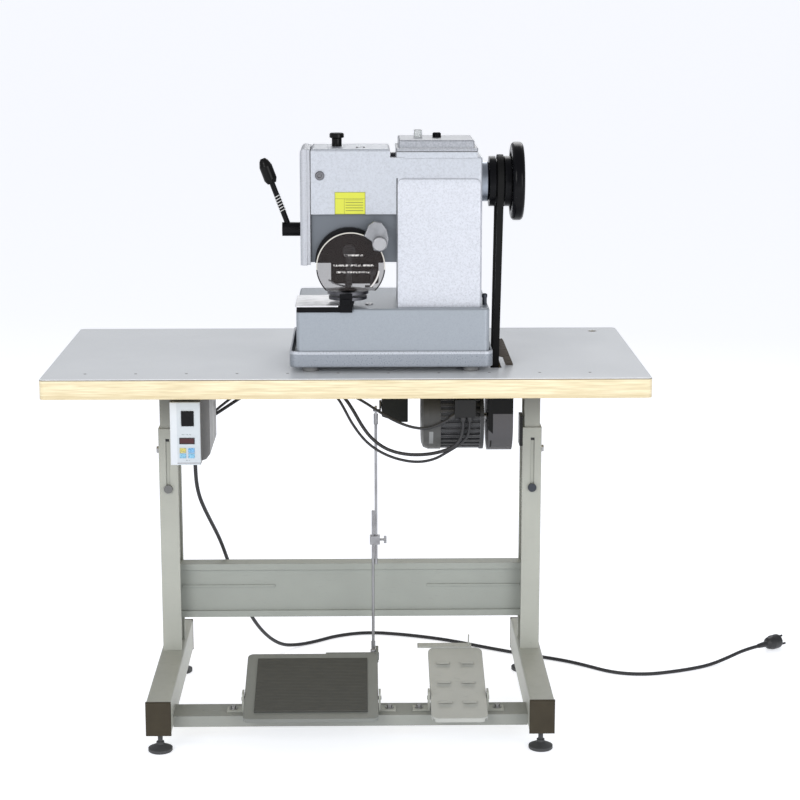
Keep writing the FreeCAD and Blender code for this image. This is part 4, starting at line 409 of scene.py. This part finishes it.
screws.feed("Base Color", dark.colours(tone, (0.008, 0.008, 0.009)))
screws.feed("Roughness", place.noise(300, 3) * 0.2 + 0.25)
screws.relief(place.noise(700), 0.00008, 0.0008)
dress(screws.material, "fasteners")

# ---------------------------------------------------------------- pedals and rod
# The wide treadle is a pressed tray with a ribbed rubber mat glued in; the small pedal is the
# same pressing with six embossed dashes. A clamped pair of steel rods works the speed lever.
pedal_paint = enamelled("pedal_enamel", (0.43, 0.44, 0.41))
dress(pedal_paint, "second_pedal")
dress(enamelled("treadle_enamel", (0.19, 0.20, 0.185)), "treadle_plate")
mat = Finish("ribbed_mat", roughness=0.75)
ribs = mat.place.node("ShaderNodeTexWave", {"bands_direction": "Y"},
                      {"Vector": mat.place, "Scale": 62, "Distortion": 0.6, "Detail": 2})
smudges = mat.place.stretched(1, 5, 5).noise(40, 4)
mat.feed("Base Color", smudges.colours((0.036, 0.037, 0.032), (0.085, 0.086, 0.076)))
mat.feed("Roughness", smudges * 0.3 + 0.55)
mat.relief(ribs, 0.0006, 0.001)
dress(mat.material, "treadle_mat")
dress(metal("rod_steel", (0.34, 0.34, 0.35), 0.34), "lower_rod", "upper_rod")
dress(black_steel, "speed_lever")

pedal_hinge = Vector((0, -0.2395, 0.090))
pedal_turn = Matrix.Translation(pedal_hinge) @ Matrix.Rotation(math.radians(15), 4, "X")
half_dash, half_width, dash_foot, dash_top = 0.014, 0.0035, 0.0118, 0.0135
dash_form = bmesh.new()
for row in (-0.035, 0.035, 0.105):
    for column in (0.1965, 0.2465):
        bar(dash_form, (column - half_dash, row - half_width, dash_foot),
            (column + half_dash, row + half_width, dash_top), 0.0011, 2, pedal_turn)
piece_of(dash_form, "pedal_dashes", pedal_paint, "second_pedal")

# ---------------------------------------------------------------- table
# A chipboard top with a pale grey laminate, edged in blond wood; a dark line shows where they
# meet, and a row of small plugs covers screw holes along the front.
table_low, table_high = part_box("table_board")
board = Finish("laminate_and_edge")
place = board.place
across, height = place.part(0), place.part(2)
laminate_thickness, line_end = 0.0012, 0.0032
top = (height > table_high[2] - laminate_thickness)
line = (height > table_high[2] - line_end)
lower = height.ramp(table_low[2] + 0.009, table_low[2] + 0.007)
end_grain = (across * across) > (table_high[0] - 0.001) ** 2
long_grain = place.stretched(1, 1, 22).noise(16, 6)
side_grain = place.stretched(9, 1, 22).noise(16, 6)
wood = long_grain.ramp(0.3, 0.7).colours((0.64, 0.53, 0.32), (0.84, 0.75, 0.52))
wood = end_grain.colours(wood, side_grain.ramp(0.3, 0.7).colours((0.68, 0.60, 0.44),
                                                                 (0.86, 0.80, 0.62)))
wood = (lower * 0.45).colours(wood, (0.55, 0.44, 0.25))
flecks = place.noise(700, 2).ramp(0.45, 0.6)
smears = place.noise(4, 4)
laminate = (flecks * 0.25).colours(smears.colours((0.89, 0.915, 0.935), (0.94, 0.96, 0.975)),
                                   (0.70, 0.715, 0.73))
edge = line.colours(wood, (0.20, 0.17, 0.13))
board.feed("Base Color", top.colours(edge, laminate))
board.feed("Roughness", top * (smears * 0.2 + 0.10) + (1 - top) * 0.38)
board.relief(top * place.noise(900) * 0.5 + (1 - top) * long_grain, 0.00015, 0.0015)
dress(board.material, "table_board")

plug_material = moulded("hole_plugs", (0.30, 0.30, 0.30), 0.6)
plug_count, plug_pitch, plug_start, plug_row = 11, 0.1, -0.517, -0.2185
plug_form = bmesh.new()
for count in range(plug_count):
    spot = Matrix.Translation((plug_start + plug_pitch * count, plug_row,
                               table_high[2] + 0.0002))
    bmesh.ops.create_cone(plug_form, cap_ends=True, segments=20, radius1=0.0032, radius2=0.0026,
                          depth=0.0008, matrix=spot)
piece_of(plug_form, "hole_plugs", plug_material, "table")
dress(enamelled("guard_brown", (0.060, 0.048, 0.036), 0.3), "belt_slot_guard")

# ---------------------------------------------------------------- machine base and tray
# The base is a plain box casting in smooth silver enamel, standing in a cast drip tray with a
# rolled rim, on four rubber pads.
def silver(name, colour, cell, dimple, roughness, contrast=0.5, rounding=0.002, bead=9):
    """Hammered silver enamel: small cells with darker rims, a painted highlight on the rim above a
    height, and pale edges that are part wear, part painted highlight.
    """
    finish = Finish(name, metallic=0.35, coat_roughness=0.15)
    place = finish.place
    warped = place.noise(cell * 0.6, 2)
    spots = place.cells(cell)
    fine = place.cells(cell * 2.3)
    mottle = (spots.ramp(0.25, 0.75) * 0.6 + fine.ramp(0.3, 0.8) * 0.4) * warped.ramp(0.3, 0.6)
    tone = (mottle * contrast).colours(colour, [c * 0.52 for c in colour])
    # Painted highlight along the rim above the given height.
    tone = ((place.part(2) > bead) * 0.6).colours(tone, (0.62, 0.645, 0.69))
    # Pale edges: part wear, part painted highlight.
    edge_wear_and_glint = finish.edges(rounding) * place.noise(40, 3).ramp(0.35, 0.6) * 0.35
    finish.feed("Base Color", edge_wear_and_glint.colours(tone, (0.80, 0.81, 0.83)))
    finish.feed("Roughness", mottle * 0.2 + (roughness - 0.05))
    finish.feed("Coat Weight", (1 - mottle) * 0.3)
    finish.relief((1 - spots) * dimple, 0.001, rounding)
    return finish.material


# The tray's rim carries a painted highlight above this height.
rim_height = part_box("oil_tray")[1][2] - 0.006
dress(silver("tray_enamel", (0.275, 0.30, 0.335), 520, 0.05, 0.30, 0.22, 0.004, rim_height),
      "oil_tray")
dress(silver("base_enamel", (0.315, 0.345, 0.38), 520, 0.05, 0.34, 0.22, 0.003), "base_casting")
dress(moulded("pad_rubber", (0.19, 0.19, 0.19), 0.6), "foot_pads")

# ---------------------------------------------------------------- head
# One iron casting in hammered silver: the head over the discs, the neck, and the column, whose
# raised front carries a painted highlight. The band below the head is recessed and smooth, with
# painted shade in the recess, and a yellow label with plain ruled lines sits above it. Cover, lid
# and gasket close the casting.
cover_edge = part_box("face_cover")[1][0]
band_top = 1.0725
label_left, label_right = -0.022, 0.0385
label_low, label_high, label_border = 1.072, 1.116, 0.0012
head = Finish("hammered_enamel", metallic=0.3, coat_roughness=0.15)
place = head.place
across, deep, height = place.part(0), place.part(1), place.part(2)
spots = place.cells(560)
mottle = (spots.ramp(0.3, 0.75) * 0.6 + place.cells(1200).ramp(0.3, 0.8) * 0.4)
mottle = mottle * place.noise(260, 2).ramp(0.38, 0.62)
# Painted highlight: the column's raised front is painted brighter than the rest of the casting.
raised = height.ramp(1.150, 1.130) * (across > 0.1008) * (deep < -0.18)
seam = across.within(cover_edge - 0.0006, cover_edge + 0.0016) * (deep < -0.16)
# Painted shade: a dark line down the shaded side of the column's raised front.
raised_side_shade = across.within(0.0992, 0.1018) * (height < 1.143) * deep.within(-0.194, -0.180)
# Painted shade: the recessed band is painted dark for the shade inside the recess; it is also left
# smooth.
band = (height < band_top) * (across < 0.1005) * (deep > -0.190)
ground = raised.colours((0.50, 0.525, 0.57), (0.60, 0.62, 0.67))
tone = (mottle * (1 - band) * 0.55).colours(ground, (0.30, 0.31, 0.335))
tone = band.colours(tone, (0.13, 0.145, 0.165))
tone = ((seam + raised_side_shade * 0.6) > 0.5).colours(tone, (0.035, 0.037, 0.042))
label = (across.within(label_left, label_right) * height.within(label_low, label_high)
         * (deep < -0.1895))
border = 1 - (across.within(label_left + label_border, label_right - label_border)
              * height.within(label_low + label_border, label_high - label_border))
ruled = height * 190
rules = ruled.maths("FRACT", ruled) < 0.28
rules = rules * across.within(-0.0005, 0.034) * height.within(1.076, 1.101)
header = height.within(1.1025, 1.1033)
ink = (border + rules + header + across.within(-0.0035, -0.0027) * (height < 1.1025)) > 0.5
yellow = (ink * 0.8).colours((0.58, 0.60, 0.045), (0.12, 0.13, 0.02))
# Pale edges: part wear, part painted highlight.
edge_wear_and_glint = head.edges(0.0022) * place.noise(40, 3).ramp(0.3, 0.55) * 0.5
tone = edge_wear_and_glint.colours(tone, (0.86, 0.87, 0.90))
head.feed("Base Color", label.colours(tone, yellow))
head.feed("Metallic", (1 - label) * 0.3)
head.feed("Roughness", mottle * 0.2 + 0.34)
head.feed("Coat Weight", (1 - mottle) * 0.25)
head.relief((1 - spots) * (1 - band) * (1 - label) * 0.14, 0.001, 0.0025)
dress(head.material, "head_casting")
cover_paint = silver("cover_enamel", (0.47, 0.485, 0.52), 430, 0.10, 0.34, 0.35, 0.0025)
dress(cover_paint, "face_cover")
lid = Finish("lid_enamel", metallic=0.3, coat_weight=0.2, coat_roughness=0.15)
place = lid.place
gasket = place.part(2).within(1.19, 1.19515)
lid_tone = place.noise(300, 3).ramp(0.4, 0.6).colours((0.29, 0.305, 0.33), (0.38, 0.39, 0.42))
# Pale edges: part wear, part painted highlight.
edge_wear_and_glint = lid.edges(0.002) * 0.5
lid.feed("Base Color", gasket.colours(edge_wear_and_glint.colours(lid_tone, (0.85, 0.86, 0.88)),
                                      (0.015, 0.015, 0.015)))
lid.feed("Roughness", place.noise(60, 3) * 0.15 + 0.28)
lid.relief(place.cells(430), 0.00008, 0.0015)
dress(lid.material, "column_lid")


def lacquer(name, colour, roughness):
    """Deep black lacquer with dust in its handling marks and little glare."""
    finish = Finish(name, specular_ior_level=0.12)
    place = finish.place
    smears = place.noise(22, 5).ramp(0.45, 0.75)
    finish.feed("Base Color", (smears * 0.5).colours(colour, [c * 1.8 + 0.002 for c in colour]))
    finish.feed("Roughness", smears * 0.18 + roughness)
    finish.relief(place.noise(500), 0.00008, 0.0012)
    return finish.material


black_gloss = lacquer("black_gloss", (0.003, 0.003, 0.004), 0.2)
dress(black_gloss, "pulley", "handwheel", "front_bracket", "hand_lever")
dress(metal("collar_metal", (0.33, 0.36, 0.41), 0.3), "shaft_collar")
polished = lacquer("polished_plastic", (0.006, 0.006, 0.006), 0.1)
dress(polished, "lever_knob", "top_knob")

# A few turns of white sewing thread are wound round the hand lever's rod.
wound_radius, thread_radius = 0.0062, 0.0009
thread_start, thread_length = 0.036, 0.036
thread_turns, thread_steps = 6, 144
thread_form = bmesh.new()
lever_spot = Matrix.Translation((-0.113, -0.1175, 1.035)) @ Matrix.Rotation(
    math.radians(-20.5), 4, "Y")
section = bmesh.ops.create_circle(thread_form, segments=6, radius=thread_radius,
                                  matrix=Matrix.Translation((wound_radius, 0, thread_start))
                                  @ Matrix.Rotation(math.radians(90), 4, "X"))["verts"]
ends = list({edge for vert in section for edge in vert.link_edges})
bmesh.ops.spin(thread_form, geom=section + ends, axis=(0, 0, 1), cent=(0, 0, 0),
               dvec=(0, 0, thread_length / thread_steps), angle=thread_turns * 2 * math.pi,
               steps=thread_steps, use_merge=False)
bmesh.ops.holes_fill(thread_form, edges=[e for e in thread_form.edges if e.is_boundary], sides=6)
bmesh.ops.transform(thread_form, matrix=lever_spot, verts=thread_form.verts)
white_thread = Finish("white_thread", roughness=0.8)
strands = white_thread.place.noise(2500, 2)
white_thread.feed("Base Color", strands.colours((0.55, 0.55, 0.53), (0.85, 0.85, 0.83)))
piece_of(thread_form, "lever_thread", white_thread.material, "lever")

# ---------------------------------------------------------------- works
# Ground and plated steel: the work plate, the needle, the looper and the two feed discs, set
# against the dark housing behind them.
dress(metal("ground_plate", (0.72, 0.72, 0.73), 0.32, (1, 12, 1)), "work_plate")
dress(lacquer("housing_black", (0.007, 0.007, 0.008), 0.3), "needle_housing")
disc_steel = metal("disc_steel", (0.105, 0.105, 0.115), 0.3)
dress(disc_steel, "upper_feed_disc", "lower_feed_disc", "looper")
dress(chrome, "needle")
dress(black_steel, "needle_arm")
dress(bright_steel, "main_shaft")
dress(metal("cast_arm", (0.30, 0.305, 0.32), 0.42), "guard_arm")
dress(metal("turned_knob", (0.42, 0.42, 0.43), 0.34), "guard_knob")

# The shield is a disc of smoked plastic with a rim, a curved arrow and three worn lines; the rim's
# upper half carries a painted highlight.
shield_middle, shield_height, rim_start = 0.009, 0.971, 0.0658
shield = Finish("smoked_shield", coat_weight=0.2, specular_ior_level=0.3)
place = shield.place
across, height = place.part(0) - shield_middle, place.part(2) - shield_height
reach = across * across + height * height
rim = reach > rim_start ** 2
arrow = reach.within(0.0545 ** 2, 0.0575 ** 2) * height.within(-0.040, -0.008) * (across > 0.02)
lines = ((height.within(0.021, 0.0245) * across.within(-0.012, 0.024))
         + (height.within(0.001, 0.0045) * across.within(-0.034, 0.045))
         + (height.within(-0.0125, -0.009) * across.within(-0.028, 0.038)))
print_marks = arrow + lines * (place.stretched(1, 1, 0.4).noise(420, 1) > 0.52)
# Painted highlight along the upper half of the rim.
rim_highlight = rim * (height > -0.006)
body = rim_highlight.colours(rim.colours((0.030, 0.022, 0.020), (0.008, 0.007, 0.007)),
                          (0.55, 0.53, 0.48))
shield.feed("Base Color", print_marks.colours(body, (0.62, 0.60, 0.58)))
shield.feed("Alpha", (rim * 0.9 + print_marks * 0.75 + 0.34).ramp(0, 1))
shield.feed("Roughness", place.noise(70, 5) * 0.3 + 0.05)
shield.material.surface_render_method = "BLENDED"
dress(shield.material, "guard_shield")

cup = Finish("cup_glass", base_color=(0.93, 0.95, 0.95, 1), transmission_weight=0.6, ior=1.3)
cup.feed("Roughness", cup.place.noise(200) * 0.15)
dress(cup.material, "sight_cup")

# ---------------------------------------------------------------- drive
# A black V-belt drops through the table to the motor: aluminium with long fins, a dark end bell
# and a folded sheet guard round its pulley. Highlights on the fins and shade under the table are
# painted on.
dress(lacquer("belt_rubber", (0.005, 0.005, 0.005), 0.5), "belt")
dress(bright_steel, "motor_pulley")
motor = Finish("motor_enamel", specular_ior_level=0.3)
place = motor.place
# The terminal box is painted black, as painted shade under the table.
terminals = (place.part(1) < -0.1655) * (place.part(0) > 0.2155) * (place.part(2) > 0.6635)
# Painted highlights along the fin tips.
fin_highlights = motor.edges(0.0012)
tone = fin_highlights.colours((0.035, 0.036, 0.038), (0.20, 0.20, 0.21))
motor.feed("Base Color", terminals.colours(tone, (0.008, 0.008, 0.008)))
motor.feed("Roughness", place.noise(80, 3) * 0.2 + 0.35)
motor.relief(place.noise(500), 0.0001, 0.0008)
dress(motor.material, "motor_body")
bell = Finish("bell_enamel", specular_ior_level=0.35)
place = bell.place
height = place.part(2)
plate = (height.within(0.604, 0.632) * place.part(0).within(0.1655, 0.1735)
         * (place.part(1) < -0.1175))
# Painted shade: the bell darkens towards its top, under the table.
tone = height.ramp(0.60, 0.70).colours((0.085, 0.085, 0.083), (0.018, 0.018, 0.017))
bell.feed("Base Color", plate.colours(tone, (0.22, 0.225, 0.225)))
bell.feed("Roughness", place.noise(80, 3) * 0.2 + 0.32)
bell.relief(place.noise(420), 0.00015, 0.0015)
dress(bell.material, "motor_bell")
sheet = Finish("guard_enamel", specular_ior_level=0.15)
place = sheet.place
across, height = place.part(0), place.part(2)
# Painted shadow: the guard is black above a height and above a slanting line at its left, where
# the table shades it; the lit face below is grey.
shadow_foot, grey_edge, slope_sum = 0.669, 0.2935, 0.921
slope = (height + across) < slope_sum
grey = (height < shadow_foot) * ((across > grey_edge) + slope > 0.5)
gap = across.within(0.2885, 0.2915) * height.within(0.594, 0.612)
tone = grey.colours((0.003, 0.003, 0.003), (0.078, 0.076, 0.080))
sheet.feed("Base Color", gap.colours(tone, (0.004, 0.004, 0.004)))
sheet.feed("Roughness", place.noise(80, 3) * 0.2 + 0.32)
sheet.relief(place.noise(420), 0.00015, 0.002)
dress(sheet.material, "belt_guard")
dress(enamelled("bracket_grey", (0.16, 0.155, 0.13), 0.4), "under_table_brackets")
dress(lacquer("speed_box", (0.014, 0.015, 0.013), 0.45), "speed_box")

# ---------------------------------------------------------------- control box
# A folded steel box with a pale printed panel: a rocker, a dark red display and four keys.
case = Finish("box_enamel")
place = case.place
side = place.part(1)
stripe = side.within(-0.098, -0.072) + side.within(-0.176, -0.166) * 0.6
tone = (stripe * 0.6).colours((0.15, 0.15, 0.15), (0.34, 0.34, 0.33))
case.feed("Base Color", tone)
case.feed("Roughness", place.noise(70, 4) * 0.2 + 0.3)
case.relief(place.noise(420), 0.0002, 0.0015)
dress(case.material, "control_box")
panel = Finish("panel_enamel", coat_weight=0.15)
place = panel.place
across, height = place.part(0), place.part(2)
panel_fold = -0.3385
seam = height.within(0.5776, 0.5788) * (across > panel_fold)
caption = (height.within(0.6355, 0.6375) * across.within(-0.329, -0.310)
           + height.within(0.5832, 0.5848) * across.within(-0.322, -0.314))
caption = caption * (place.noise(700, 1) > 0.48)
tone = (across < panel_fold).colours((0.50, 0.545, 0.575), (0.60, 0.635, 0.665))
tone = (place.noise(12, 3) * 0.3).colours(tone, (0.62, 0.64, 0.69))
tone = seam.colours(tone, (0.13, 0.10, 0.10))
panel.feed("Base Color", (caption * 0.7).colours(tone, (0.12, 0.16, 0.14)))
panel.feed("Roughness", place.noise(70, 4) * 0.15 + 0.25)
panel.relief(place.noise(420), 0.0001, 0.001)
dress(panel.material, "control_panel")
membrane = Finish("membrane", coat_weight=0.3, specular_ior_level=0.3)
place = membrane.place
across, height = place.part(0), place.part(2)
display_foot, key_column, key_row = 0.613, -0.3187, 0.5987
display = height > display_foot
red = across.within(-0.3325, -0.305) * height.within(0.6188, 0.6285)
left, upper = across < key_column, height > key_row
lower_keys = left.colours((0.10, 0.50, 0.72), (0.09, 0.40, 0.47))
upper_keys = left.colours((0.045, 0.33, 0.68), (0.36, 0.56, 0.05))
ground = upper.colours(lower_keys, upper_keys)
near = (across + left * 0.0170 + 0.3103).maths("ABSOLUTE", 0.0) < 0.0042
level = ((height - 0.5933) - upper * 0.0110).maths("ABSOLUTE", 0.0) < 0.0028
badge = left.colours((0.25, 0.55, 0.85), (0.80, 0.62, 0.10))
badge = upper.colours((0.30, 0.60, 0.80), badge)
marks = (place.noise(900, 1) > 0.5) * near * level
keys = (near * level * 0.8).colours(ground, badge)
keys = (marks * 0.7).colours(keys, (0.05, 0.10, 0.20))
glow = red.colours((0.004, 0.004, 0.004), (0.048, 0.003, 0.006))
membrane.feed("Base Color", display.colours(keys, glow))
membrane.feed("Roughness", place.noise(60, 3) * 0.15 + 0.2)
dress(membrane.material, "panel_inserts")
dress(lacquer("rocker_plastic", (0.007, 0.007, 0.008), 0.25), "rocker_switch")
